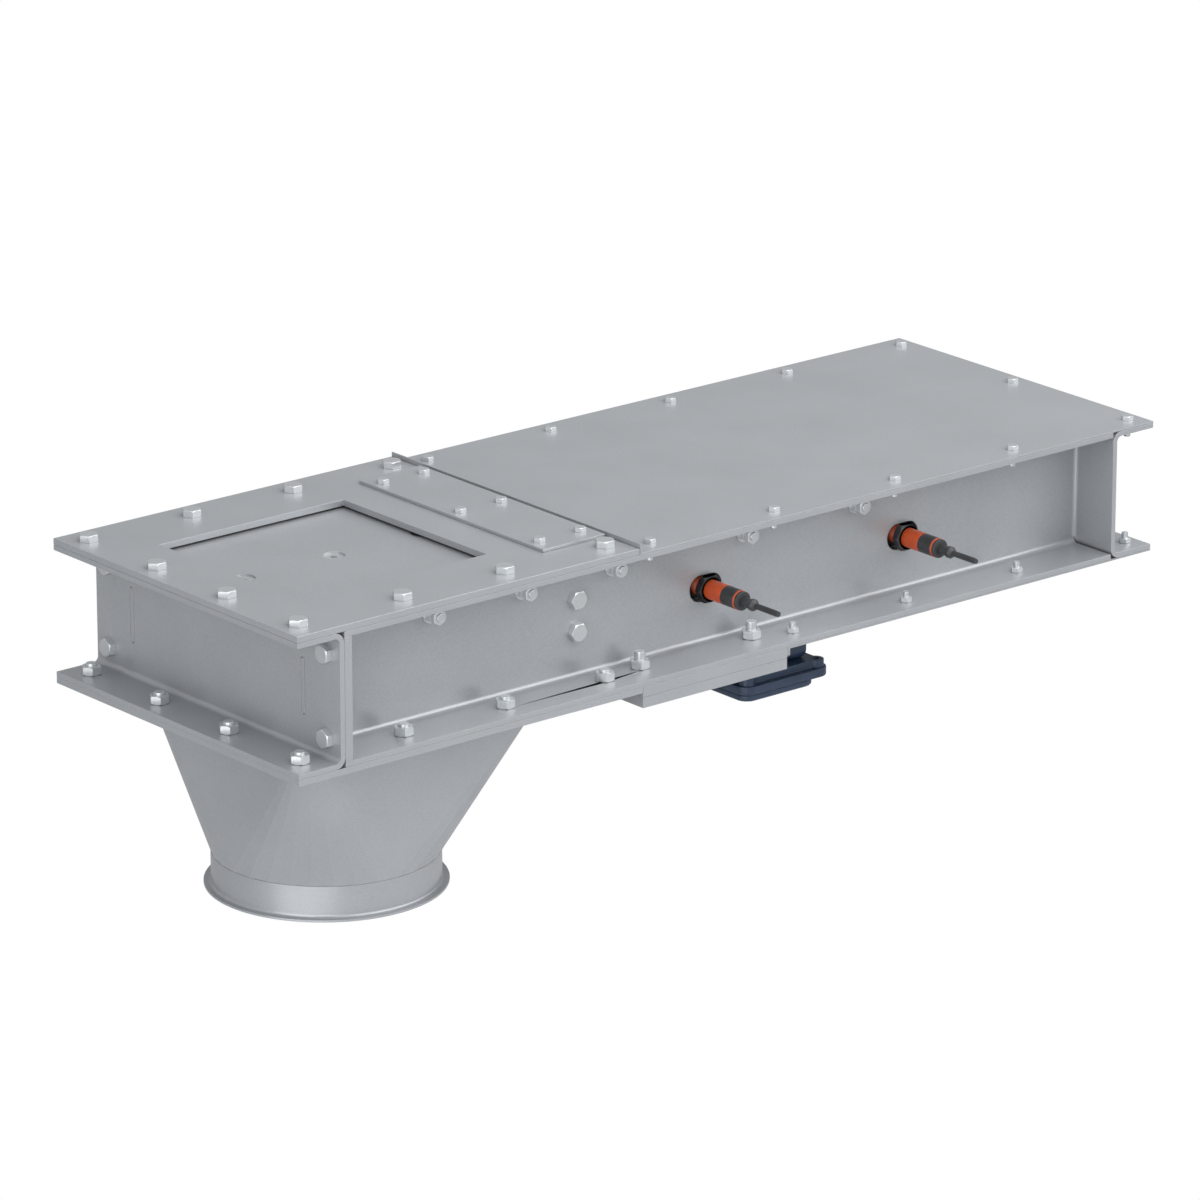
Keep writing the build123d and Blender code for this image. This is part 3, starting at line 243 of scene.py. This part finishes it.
# %% [markdown]
# **Bright stainless screws.** Cold-formed and tumbled, so they are smoother and lighter than the
# sheet, with soft highlights along each edge of the hexagon.


# %% Bright fasteners
def bright_steel(name):
    material, tree, shader = new_finish(name)
    marks = noise(tree, 1.2, 2.0)
    base = blend_colours(tree, marks, 0.35, 0.7, colour("CED1D3"), colour("D5D8DA"))
    tree.links.new(base, shader.inputs["Base Color"])
    tree.links.new(spread(tree, marks, 0.3, 0.7, 0.34, 0.28), shader.inputs["Roughness"])
    shader.inputs["Metallic"].default_value = 0.8
    return material


bright_fasteners = bright_steel("stainless_screws_tumbled")
print("finish:", bright_fasteners.name)

# %% [markdown]
# **Moulded, cast and turned finishes.** Plastics have a fine spark-eroded grain from their mould,
# the drive has sprayed enamel with a slight orange peel, bronze and aluminium show the fine
# rings of the lathe, and felt is a soft mat of fibres.


# %% Other finishes
def moulded(name, tint, dark, rough, grain_mm, depth_mm):
    """Plastic, rubber or enamel: a base that varies a little, with the grain of its surface."""
    material, tree, shader = new_finish(name)
    grain = noise(tree, grain_mm, 2.0)
    patches = noise(tree, 14, 2.0)
    base = blend_colours(tree, patches, 0.35, 0.7, colour(dark), colour(tint))
    tree.links.new(base, shader.inputs["Base Color"])
    tree.links.new(spread(tree, grain, 0.3, 0.7, rough - 0.05, rough + 0.07),
                   shader.inputs["Roughness"])
    shader.inputs["IOR"].default_value = 1.5
    relief(tree, shader, grain, depth_mm)
    return material


def turned_metal(name, tint, dark, rough):
    material, tree, shader = new_finish(name)
    rings = noise(tree, 1.2, 2.0, (1, 1, 6))
    base = blend_colours(tree, rings, 0.35, 0.7, colour(dark), colour(tint))
    tree.links.new(base, shader.inputs["Base Color"])
    tree.links.new(spread(tree, rings, 0.3, 0.7, rough + 0.06, rough - 0.06),
                   shader.inputs["Roughness"])
    shader.inputs["Metallic"].default_value = 1.0
    relief(tree, shader, rings, 0.01)
    return material


finishes = {
    "sheet_steel": sheet_steel,
    "machined_steel": machined_steel,
    "bright_fasteners": bright_fasteners,
    "felt": moulded("wool_felt_pressed", "9A9588", "7E796D", 0.92, 0.7, 0.25),
    "black_rubber": moulded("nitrile_rubber_cut", "1B1B1C", "131314", 0.7, 0.8, 0.02),
    "white_plastic": moulded("polyethylene_planed", "E4E4DF", "D6D6D0", 0.45, 1.0, 0.01),
    "bronze": turned_metal("bearing_bronze_turned", "B08A55", "8F6C3E", 0.32),
    "blue_enamel": moulded("machine_enamel_sprayed", "2C3D55", "243449", 0.36, 2.2, 0.03),
    "bare_aluminium": turned_metal("aluminium_turned", "D3D5D7", "BDBFC1", 0.3),
    "orange_plastic": moulded("orange_polyester_moulded", "C8501F", "B5441A", 0.42, 0.5, 0.01),
    "black_plastic": moulded("black_polyamide_moulded", "38393B", "2E2F31", 0.42, 0.7, 0.01),
}
print("finishes:", len(finishes))

# %% [markdown]
# Each piece of the solid model takes the finish of its slot. The list of slots comes with the
# model, so a piece can't be forgotten.

# %% Give every node its finish
slot_of = {part["node"]: part["material_slot"] for part in frame["record"]["subparts"]}
for name, thing in frame["nodes"].items():
    thing.data.materials.clear()
    thing.data.materials.append(finishes[slot_of[name]])
print("nodes with a finish:", len(slot_of))

# %% [markdown]
# **Which body carries a piece.** The sliding plate takes its rack and flag along, and the pinion
# turns its shaft. All the rest is the fixed housing.

# %% Bodies
moving = {"slide": ("slide_plate", "rack", "rack_screws", "switching_flag", "flag_screws"),
          "pinion": ("pinion", "output_shaft", "pinion_fixings")}
body_names = list(frame["bodies"])
print("bodies:", body_names)


def body_for(node):
    for body, names in moving.items():
        if node in names:
            return body
    return "housing"


def stand_in(piece, node, finish=None):
    """Finishes a piece, lets it ride on its body, and shows it in place of its solid."""
    settle(piece)
    piece.data.materials.clear()
    piece.data.materials.append(finishes[finish or slot_of[node]])
    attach(piece, body_for(node))
    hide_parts(node)


# %% [markdown]
# **Sensor slots.** A position sensor is set along the gate, so its opening is a slot with round
# ends. The solid model has a plain round hole. The hole is made as small as the slot is high,
# and then its left and right halves are moved apart.


# %% Sensor slots
sensor_boxes = [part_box("sensor_closed"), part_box("sensor_open")]
sensor_spots = [(Vector(low) + Vector(high)) / 2 / MM for low, high in sensor_boxes]
slot_length, slot_height = 37.0, 24.4
hole_diameter = 40.0             # of the round hole in the solid model
print("sensors at x", [round(spot.x, 1) for spot in sensor_spots])


def make_slots(piece):
    """Turns the round holes for the sensors into slots that let a sensor be set along x."""
    for spot in sensor_spots:
        def near(point, reach=hole_diameter / 2 + 1.0):
            return (Vector((point.x, point.z)) / MM - spot.xz).length < reach
        centre = spot * MM
        edit(piece, "EDGE", lambda a, b: near(a) and near(b))
        share = slot_height / hole_diameter
        bpy.ops.transform.resize(value=(share, 1, share), center_override=centre)
        done()
        for side in (-1, 1):
            edit(piece, "EDGE", lambda a, b: near(a) and near(b)
                 and side * (a.x + b.x - 2 * centre.x) > -SAME)
            bpy.ops.transform.translate(value=(side * (slot_length - slot_height) / 2 * MM, 0, 0))
            done()


# %% [markdown]
# **Softened edges.** A laser-cut or bent sheet never ends in a perfectly sharp edge: it is
# deburred, and the narrow rounding catches the light as a thin bright line. A copy of the solid
# is merged first, because the solid's triangles are loose. Then a bevel modifier rounds each
# edge that is sharper than a facet of a bend.


# %% Copy and soften
def merged_copy(node, name):
    pick(frame["nodes"][node])
    bpy.ops.object.duplicate(linked=False)
    piece = bpy.context.object
    bpy.ops.object.parent_clear(type="CLEAR_KEEP_TRANSFORM")
    piece.name = name
    edit(piece)
    bpy.ops.mesh.remove_doubles(threshold=MERGE)
    bpy.ops.mesh.customdata_custom_splitnormals_clear()
    bpy.ops.mesh.dissolve_limited(angle_limit=radians(0.3))
    done()
    return piece


def soften(node, width_mm, segments=2, angle=28, smooth=28):
    """Rounds a solid's edges on a copy, which never grows beyond the solid's own box."""
    piece = merged_copy(node, node + "_edges")
    if node == "side_channel_near":
        make_slots(piece)
    apply_modifier(piece, "BEVEL", width=width_mm * MM, segments=segments, limit_method="ANGLE",
                   angle_limit=radians(angle), use_clamp_overlap=False)
    low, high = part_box(node)
    for vertex in piece.data.vertices:
        vertex.co = [min(max(value, least), most)
                     for value, least, most in zip(vertex.co, low, high)]
    shade(piece, smooth)
    stand_in(piece, node)
    print(node, "faces", len(piece.data.polygons))


sheets = {
    "inlet_plate": 0.6, "outlet_plate": 0.6, "seal_clamp_plate": 0.6, "top_cover": 0.3,
    "bottom_cover": 0.3, "end_channel_inlet": 0.6, "end_channel_rear": 0.6,
    "side_channel_near": 0.6, "side_channel_far": 0.6, "partition": 0.6, "end_bars": 0.4,
    "drive_plate_upper": 0.6, "drive_plate_lower": 0.6, "slide_plate": 0.3,
    "bearing_column": 0.6, "gear_case": 0.8, "gear_case_cap": 0.6, "motor_body": 0.8,
    "motor_end_cap": 1.0, "motor_joint_ring": 0.3, "terminal_box": 1.0, "terminal_lid": 0.5,
}
for node, width in sheets.items():
    soften(node, width)

# %% [markdown]
# **Hexagon heads and nuts.** A real hexagon is chamfered at 30 degrees by turning, so a round
# cone cuts its corners off and leaves the curved lines that one sees on each flat. The same is
# done here: a six-sided cylinder is cut by a cone with a boolean modifier, then the edges get a
# fine bevel.


# %% Hexagon
CHAMFER = radians(30)
FACE_SHARE = 0.95                # flat end face over the width across flats
TURN_SMOOTH = 24                 # degrees up to which turned and hexagon parts look smooth


def common_part(piece, other):
    """Keeps only what both pieces fill."""
    apply_modifier(piece, "BOOLEAN", operation="INTERSECT", solver="EXACT", object=other)
    bpy.data.objects.remove(other, do_unlink=True)


def drill(piece, radius, height):
    """Cuts a round hole along z right through a piece, sizes in mm."""
    bpy.ops.mesh.primitive_cylinder_add(vertices=40, radius=radius * MM, depth=3 * height * MM,
                                        location=(0, 0, height / 2 * MM))
    cutter = bpy.context.object
    settle(cutter)
    apply_modifier(piece, "BOOLEAN", operation="DIFFERENCE", solver="EXACT", object=cutter)
    bpy.data.objects.remove(cutter, do_unlink=True)


def hexagon(flats, height, bore=0.0):
    """Upright chamfered hexagon on z = 0 with corners towards x, sizes in mm.

    With a bore it is a nut, chamfered at both ends. Each cone reaches beyond the hexagon, so
    that no two faces of a cut lie in one plane."""
    bpy.ops.mesh.primitive_cylinder_add(vertices=6, radius=flats / sqrt(3) * MM,
                                        depth=height * MM, location=(0, 0, height / 2 * MM),
                                        rotation=(0, 0, radians(30)))
    piece = bpy.context.object
    settle(piece)
    slope = 1 / tan(CHAMFER)
    beyond = 0.1 * flats
    tip = FACE_SHARE * flats / 2 - beyond * slope
    foot = FACE_SHARE * flats / 2 + (height + beyond) * slope
    for turn in (0.0, pi) if bore else (0.0,):
        bpy.ops.mesh.primitive_cone_add(vertices=64, radius1=foot * MM, radius2=tip * MM,
                                        depth=(height + 2 * beyond) * MM,
                                        location=(0, 0, height / 2 * MM), rotation=(turn, 0, 0))
        cone = bpy.context.object
        settle(cone)
        common_part(piece, cone)
    if bore:
        drill(piece, bore / 2, height)
    apply_modifier(piece, "BEVEL", width=0.014 * flats * MM, segments=2, limit_method="ANGLE",
                   angle_limit=radians(25))
    return piece


def rod(radius, low, high, end_bevel, both=False):
    """Round bar between two heights with a chamfer or rounding at its top, sizes in mm."""
    bpy.ops.mesh.primitive_cylinder_add(vertices=40, radius=radius * MM, depth=(high - low) * MM,
                                        location=(0, 0, (high + low) / 2 * MM))
    piece = bpy.context.object
    settle(piece)
    if end_bevel:
        at = (low, high) if both else (high,)
        edit(piece, "EDGE", lambda a, b: any(abs(a.z - h * MM) < SAME and abs(b.z - h * MM) < SAME
                                             for h in at))
        bpy.ops.mesh.bevel(offset=end_bevel * MM, segments=3)
        done()
    return piece


def join(pieces, name):
    pick(*pieces)
    bpy.ops.object.join()
    piece = bpy.context.object
    piece.name = name
    return piece


print("hexagon helpers ready")

# %% [markdown]
# **Where the screws are.** The solid model already holds every screw at its place, so the places
# are read from it: the triangles that touch belong to one screw, and its lowest and highest
# corners say where it sits.


# %% Solids of a node
def solids_of(node):
    """Lowest and highest corner of each separate solid in a node, in mm."""
    mesh = frame["nodes"][node].data
    keys = [tuple(round(c / MERGE) for c in p.co) for p in mesh.vertices]
    parent = {k: k for k in keys}

    def root(k):
        while parent[k] != k:
            parent[k] = parent[parent[k]]
            k = parent[k]
        return k

    for face in mesh.polygons:
        first = root(keys[face.vertices[0]])
        for i in face.vertices[1:]:
            parent[root(keys[i])] = first
    corners = {}
    for k, p in zip(keys, mesh.vertices):
        low, high = corners.setdefault(root(k), (list(p.co), list(p.co)))
        for axis in range(3):
            low[axis] = min(low[axis], p.co[axis])
            high[axis] = max(high[axis], p.co[axis])
    return [(Vector(low) / MM, Vector(high) / MM) for low, high in corners.values()]


def turned_to(direction, twist=0.0):
    """Rotation that turns z to a direction, after a twist about z in degrees."""
    spin = Matrix.Rotation(radians(twist), 4, "Z")
    return Vector((0, 0, 1)).rotation_difference(Vector(direction)).to_matrix().to_4x4() @ spin


def place_copies(pattern, places, name):
    """Copies the pattern to each (place in mm, rotation), joins the copies, drops the pattern."""
    copies = []
    for spot, rotation in places:
        pick(pattern)
        bpy.ops.object.duplicate(linked=False)
        copy = bpy.context.object
        copy.matrix_world = Matrix.Translation(Vector(spot) * MM) @ rotation
        settle(copy)
        copies.append(copy)
    bpy.data.objects.remove(pattern, do_unlink=True)
    return join(copies, name)


def spots(node, direction, depth_of_head):
    """Seat of each head: the middle of its solid, moved to the face under the head."""
    out = []
    for low, high in solids_of(node):
        middle = (low + high) / 2
        d = Vector(direction(middle) if callable(direction) else direction)
        reach = sum(abs(d[i]) * (high[i] - low[i]) for i in range(3)) / 2
        out.append((middle + d * (reach - depth_of_head), turned_to(d)))
    return out


def length_along(node, axis):
    low, high = solids_of(node)[0]
    return high[axis] - low[axis]


print("inlet plate screws found:", len(solids_of("inlet_plate_screws")))

# %% [markdown]
# ** Screws.** Each kind is modelled once: the hexagon head, and the shank with a chamfered
# end. Then it is copied to every place that the solid model gives.

# %% Screws and bolts
UP, DOWN = (0, 0, 1), (0, 0, -1)


def outwards(middle):
    return (0, 1 if middle.y > 0 else -1, 0)


def screw_set(node, size, axis, direction):
    diameter, flats, head = size
    shank = length_along(node, axis) - head
    end = -(shank - 0.01) * MM
    cap = hexagon(flats, head)
    stem = rod(diameter / 2, -shank, 0.0, 0.0)
    edit(stem, "EDGE", lambda a, b: a.z < end and b.z < end)
    bpy.ops.mesh.bevel(offset=0.11 * diameter * MM, segments=2)
    done()
    pattern = join([cap, stem], node + "_pattern")
    shade(pattern, TURN_SMOOTH)
    piece = place_copies(pattern, spots(node, direction, head), node + "_detail")
    stand_in(piece, node)
    print(node, "copies", len(solids_of(node)))


M10, M6 = (10.0, 16.0, 6.4), (6.0, 10.0, 4.0)
screw_set("inlet_plate_screws", M10, 2, UP)
screw_set("top_cover_screws", M6, 2, UP)
screw_set("seal_clamp_screws", M6, 2, UP)
screw_set("end_web_bolts", M10, 0, (-1, 0, 0))
screw_set("partition_bolts", M10, 1, outwards)
screw_set("outlet_plate_bolts", M10, 2, DOWN)
screw_set("drive_plate_bolts", M10, 2, DOWN)
screw_set("bottom_cover_bolts", M6, 2, DOWN)

# %% [markdown]
# **Nuts.** A nut is the same hexagon, chamfered at both ends and drilled for its screw.


# %% Nuts
def nut_pattern(diameter, flats, height):
    piece = hexagon(flats, height, bore=diameter + 0.1)
    shade(piece, TURN_SMOOTH)
    return piece


def nut_set(node, size, direction):
    pattern = nut_pattern(*size)
    piece = place_copies(pattern, spots(node, direction, size[2]), node + "_detail")
    stand_in(piece, node)
    print(node, "copies", len(solids_of(node)))


# diameter, width across flats and height, in mm
M10_NUT, M8_NUT, M6_NUT = (10, 16, 8.0), (8, 13, 6.4), (6, 10, 4.8)
M18_NUT, M18_THIN_NUT = (18, 24, 8.0), (18, 24, 4.0)
nut_set("outlet_plate_nuts", M10_NUT, UP)
nut_set("drive_plate_nuts", M10_NUT, UP)
nut_set("bottom_cover_nuts", M6_NUT, UP)
nut_set("partition_nuts", M10_NUT, outwards)

# %% [markdown]
# **Washer, nut and lock nut** on each rail screw. The three lie in one node, so each solid is
# told apart by its thickness along y. The two nuts touch, so they are found as one solid, and
# two are placed there.


# %% Rail nuts
def rail_set(node="rail_nuts"):
    nut_height = M8_NUT[2]
    nut = nut_pattern(*M8_NUT)
    washer = rod(8.5, 0, 1.6, 0.4, both=True)
    shade(washer, TURN_SMOOTH)
    nuts, washers = [], []
    for low, high in solids_of(node):
        middle = (low + high) / 2
        d = Vector(outwards(middle))
        thick = high.y - low.y
        seat = middle - d * thick / 2
        if thick < nut_height / 2:
            washers.append((seat, turned_to(d)))
        for i in range(round(thick / nut_height)):
            nuts.append((seat + d * nut_height * i, turned_to(d, 30)))
    nut_piece = place_copies(nut, nuts, "rail_nuts_only")
    washer_piece = place_copies(washer, washers, "rail_washers_only")
    piece = join([nut_piece, washer_piece], node + "_detail")
    stand_in(piece, node)
    print(node, len(nuts), "nuts", len(washers), "washers")


rail_set()

# %% [markdown]
# **Position sensors.** An M18 sensor is a moulded orange tube with a thread over its front part,
# a black sleeve near its rear, a thin orange ring and a black end cap that the cable's moulded
# tail leaves. Each is a turned shape, so its outline is drawn as a ring that is extruded and
# scaled step by step along the axis.


# %% Turned shapes
def turned(profile, name, around=48):
    """Solid of revolution on the z axis from (radius, height) steps in mm."""
    radius, height = profile[0]
    bpy.ops.mesh.primitive_circle_add(vertices=around, radius=radius * MM, fill_type="NGON",
                                      location=(0, 0, height * MM))
    piece = bpy.context.object
    settle(piece)
    bpy.ops.object.mode_set(mode="EDIT")
    bpy.ops.mesh.select_mode(type="FACE")
    bpy.ops.mesh.select_all(action="SELECT")
    for r, z in profile[1:]:
        bpy.ops.mesh.extrude_region_move(TRANSFORM_OT_translate={
            "value": (0, 0, (z - height) * MM)})
        bpy.ops.transform.resize(value=(r / radius, r / radius, 1),
                                 center_override=(0, 0, z * MM))
        radius, height = r, z
    bpy.ops.mesh.select_all(action="SELECT")
    bpy.ops.mesh.normals_make_consistent(inside=False)
    done()
    piece.name = name
    return piece


def thread_steps(radius, start, end, pitch=1.0, depth=0.45):
    """Rings that rise and fall like the flanks of a thread."""
    steps = []
    z = start
    while z < end - pitch / 2:
        steps += [(radius - depth, z), (radius, z + pitch / 2)]
        z += pitch
    return steps


web_face = -125.0                # outer face of the near side channel's web
sensor_turn = turned_to((0, -1, 0))
sensor_seats = [((spot.x, web_face, spot.z), sensor_turn) for spot in sensor_spots]
SENSOR_SMOOTH = 22


def sensor_piece(node):
    low, high = solids_of(node)[0]
    inside = high.y - web_face
    steps = [(7.4, -inside), (7.9, -inside + 0.5), (8.0, -inside + 2.0)]
    steps += thread_steps(9.0, -inside + 2.2, 7.4)
    steps += [(8.9, 7.6), (9.0, 8.2), (9.0, 28.4), (8.7, 29.0), (8.5, 29.0), (8.5, 46.0),
              (8.8, 46.05), (9.0, 46.3), (9.0, 47.7), (8.8, 48.0)]
    piece = turned(steps, node + "_detail")
    shade(piece, SENSOR_SMOOTH)
    middle = (low + high) / 2
    piece.matrix_world = Matrix.Translation(Vector((middle.x, web_face, middle.z)) * MM) @ \
        sensor_turn
    stand_in(piece, node)
    print(node, "reach inside the web", round(inside, 1), "mm")


for node in ("sensor_closed", "sensor_open"):
    sensor_piece(node)


# %% Sleeves and plugs of the sensors
def at_sensors(pattern, node):
    piece = place_copies(pattern, sensor_seats, node + "_detail")
    stand_in(piece, node)


sleeve = turned([(8.5, 29.0), (8.75, 29.05), (9.0, 29.4), (9.0, 45.6), (8.75, 45.95),
                 (8.5, 46.0)], "sleeve_pattern")
shade(sleeve, SENSOR_SMOOTH)
at_sensors(sleeve, "sensor_sleeves")

plug_steps = [(8.3, 48.0), (8.7, 48.2), (8.7, 50.6), (8.3, 51.0), (5.9, 51.0), (5.7, 51.5),
              (5.0, 51.5), (4.5, 51.3), (4.5, 59.6), (4.2, 60.6), (3.9, 60.8), (3.9, 62.0),
              (5.0, 62.2), (5.5, 62.7), (5.5, 63.6), (5.1, 63.8), (5.1, 64.3), (5.5, 64.5),
              (5.5, 65.6), (4.9, 66.5), (3.4, 68.0), (2.7, 68.4), (2.7, 96.6), (2.2, 99.0)]
plug = turned(plug_steps, "plug_pattern")
shade(plug, SENSOR_SMOOTH)
at_sensors(plug, "sensor_plugs")

# %% [markdown]
# **Sensor nuts.** The solid model holds a thick and a thin nut on each sensor. The lock nut that
# lies against the outside of the web is this script's own piece.

# %% Nuts of the sensors
pattern = nut_pattern(*M18_NUT)
thin = nut_pattern(*M18_THIN_NUT)
outer_places, inner_places = [], []
for low, high in solids_of("sensor_nuts"):
    middle = (low + high) / 2
    thick = high.y - low.y
    halfway = (M18_NUT[2] + M18_THIN_NUT[2]) / 2
    (outer_places if thick > halfway else inner_places).append(
        (middle + Vector((0, thick / 2, 0)), sensor_turn))
outer = place_copies(pattern, outer_places, "outer_nuts")
inner = place_copies(thin, inner_places, "inner_nuts")
nuts = join([outer, inner], "sensor_nuts_detail")
stand_in(nuts, "sensor_nuts")
lock = place_copies(nut_pattern(*M18_NUT), sensor_seats, "sensor_lock_nuts")
settle(lock)
lock.data.materials.append(finishes["black_plastic"])
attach(lock, "housing")
print("sensor nuts:", len(outer_places), "outside,", len(inner_places), "inside")

# %% [markdown]
# **Hopper and spigot.** The hopper is folded from flat triangles, so its facets stay flat and
# only the folds catch the light. The spigot is rolled and its lip is smooth.

# %% Hopper and spigot
soften("outlet_hopper", 0.3, segments=1, angle=60, smooth=5)
soften("outlet_spigot", 0.3, segments=2, angle=50, smooth=40)

# %% [markdown]
# **Light and floor.** The gate is shown on pure white with soft light from all round. A pale
# grey world lights it, a very large lamp at the right front lights the cover and the lower
# flanges, and one at the left lights the inlet end. The lamps are large, which keeps their
# reflection in the ground sheet soft. Seen from behind at a low angle it still turns the top
# white. The camera sees white behind the gate.

# %% World
world = bpy.data.worlds.new("studio") if not bpy.context.scene.world else bpy.context.scene.world
bpy.context.scene.world = world
world.use_nodes = True
tree = world.node_tree
tree.nodes.clear()
rays = add(tree, "LightPath")
seen = rays.outputs["Is Camera Ray"]
direction = add(tree, "TexCoord").outputs["Generated"]
leaning = add(tree, "VectorMath", {"operation": "DOT_PRODUCT"}, i0=direction,
              i1=(-0.10, -0.10, 0.14))
level = add(tree, "Math", {"operation": "ADD"}, i0=leaning.outputs["Value"], i1=0.535)
soft = add(tree, "Background", Color=colour("FBFCFF"), Strength=level.outputs[0])
white = add(tree, "Background", Color=(1, 1, 1, 1), Strength=1.0)
mix = add(tree, "MixShader", i0=seen, i1=soft.outputs[0], i2=white.outputs[0])
add(tree, "OutputWorld", Surface=mix.outputs[0])
print("world ready")

# %% Floor
bpy.ops.mesh.primitive_plane_add(size=4.6, location=(0.3, 0, -0.95))
floor = bpy.context.object
floor.name = "studio_floor"
floor_finish, tree, shader = new_finish("studio_paper")
paper = noise(tree, 30, 2.0)
tree.links.new(blend_colours(tree, paper, 0.3, 0.7, colour("C0C0C1"), colour("C4C4C5")),
               shader.inputs["Base Color"])
shader.inputs["Roughness"].default_value = 0.9
seen = add(tree, "LightPath").outputs["Is Camera Ray"]
glow = add(tree, "Emission", Color=(1, 1, 1, 1), Strength=1.0)
mixed = add(tree, "MixShader", i0=seen, i1=shader.outputs[0], i2=glow.outputs[0])
tree.links.new(mixed.outputs[0], tree.nodes["Material Output"].inputs["Surface"])
floor.data.materials.append(floor_finish)
print("floor ready")


# %% Lamps
def lamp(name, spot, aim, size, watts):
    """Square soft lamp at a place, turned to an aim."""
    bpy.ops.object.light_add(type="AREA", location=spot)
    light = bpy.context.object
    light.name = name
    light.data.size = size
    light.data.energy = watts
    light.rotation_euler = (Vector(aim) - Vector(spot)).to_track_quat("-Z", "Y").to_euler()


lamp("right_front_lamp", (1.1, -1.02, 1.3), (0.65, -0.15, -0.05), 3.4, 72)
lamp("left_front_lamp", (-1.75, -1.1, -0.05), (0, -0.1, -0.12), 2.2, 27)
print("lamps ready")

# %% [markdown]
# **Camera.** It stands where the photographer's camera stood, far away with a long lens, so the
# long edges hardly converge.

# %% Camera
right_axis = Vector((0.770, -0.638, 0.0)).normalized()
up_axis = Vector((0.2018, 0.2436, 0.9486)).normalized()
back_axis = right_axis.cross(up_axis).normalized()
up_axis = back_axis.cross(right_axis)
turn = Matrix((right_axis, up_axis, back_axis)).transposed().to_4x4()
bpy.ops.object.camera_add()
camera = bpy.context.object
camera.matrix_world = Matrix.Translation((-3.7967, -4.9598, 2.0348)) @ turn
camera.data.lens = 226.68
camera.data.sensor_width = 36.0
camera.data.clip_end = 50.0
bpy.context.scene.camera = camera
bpy.context.scene.view_settings.view_transform = "Standard"
print("camera ready")
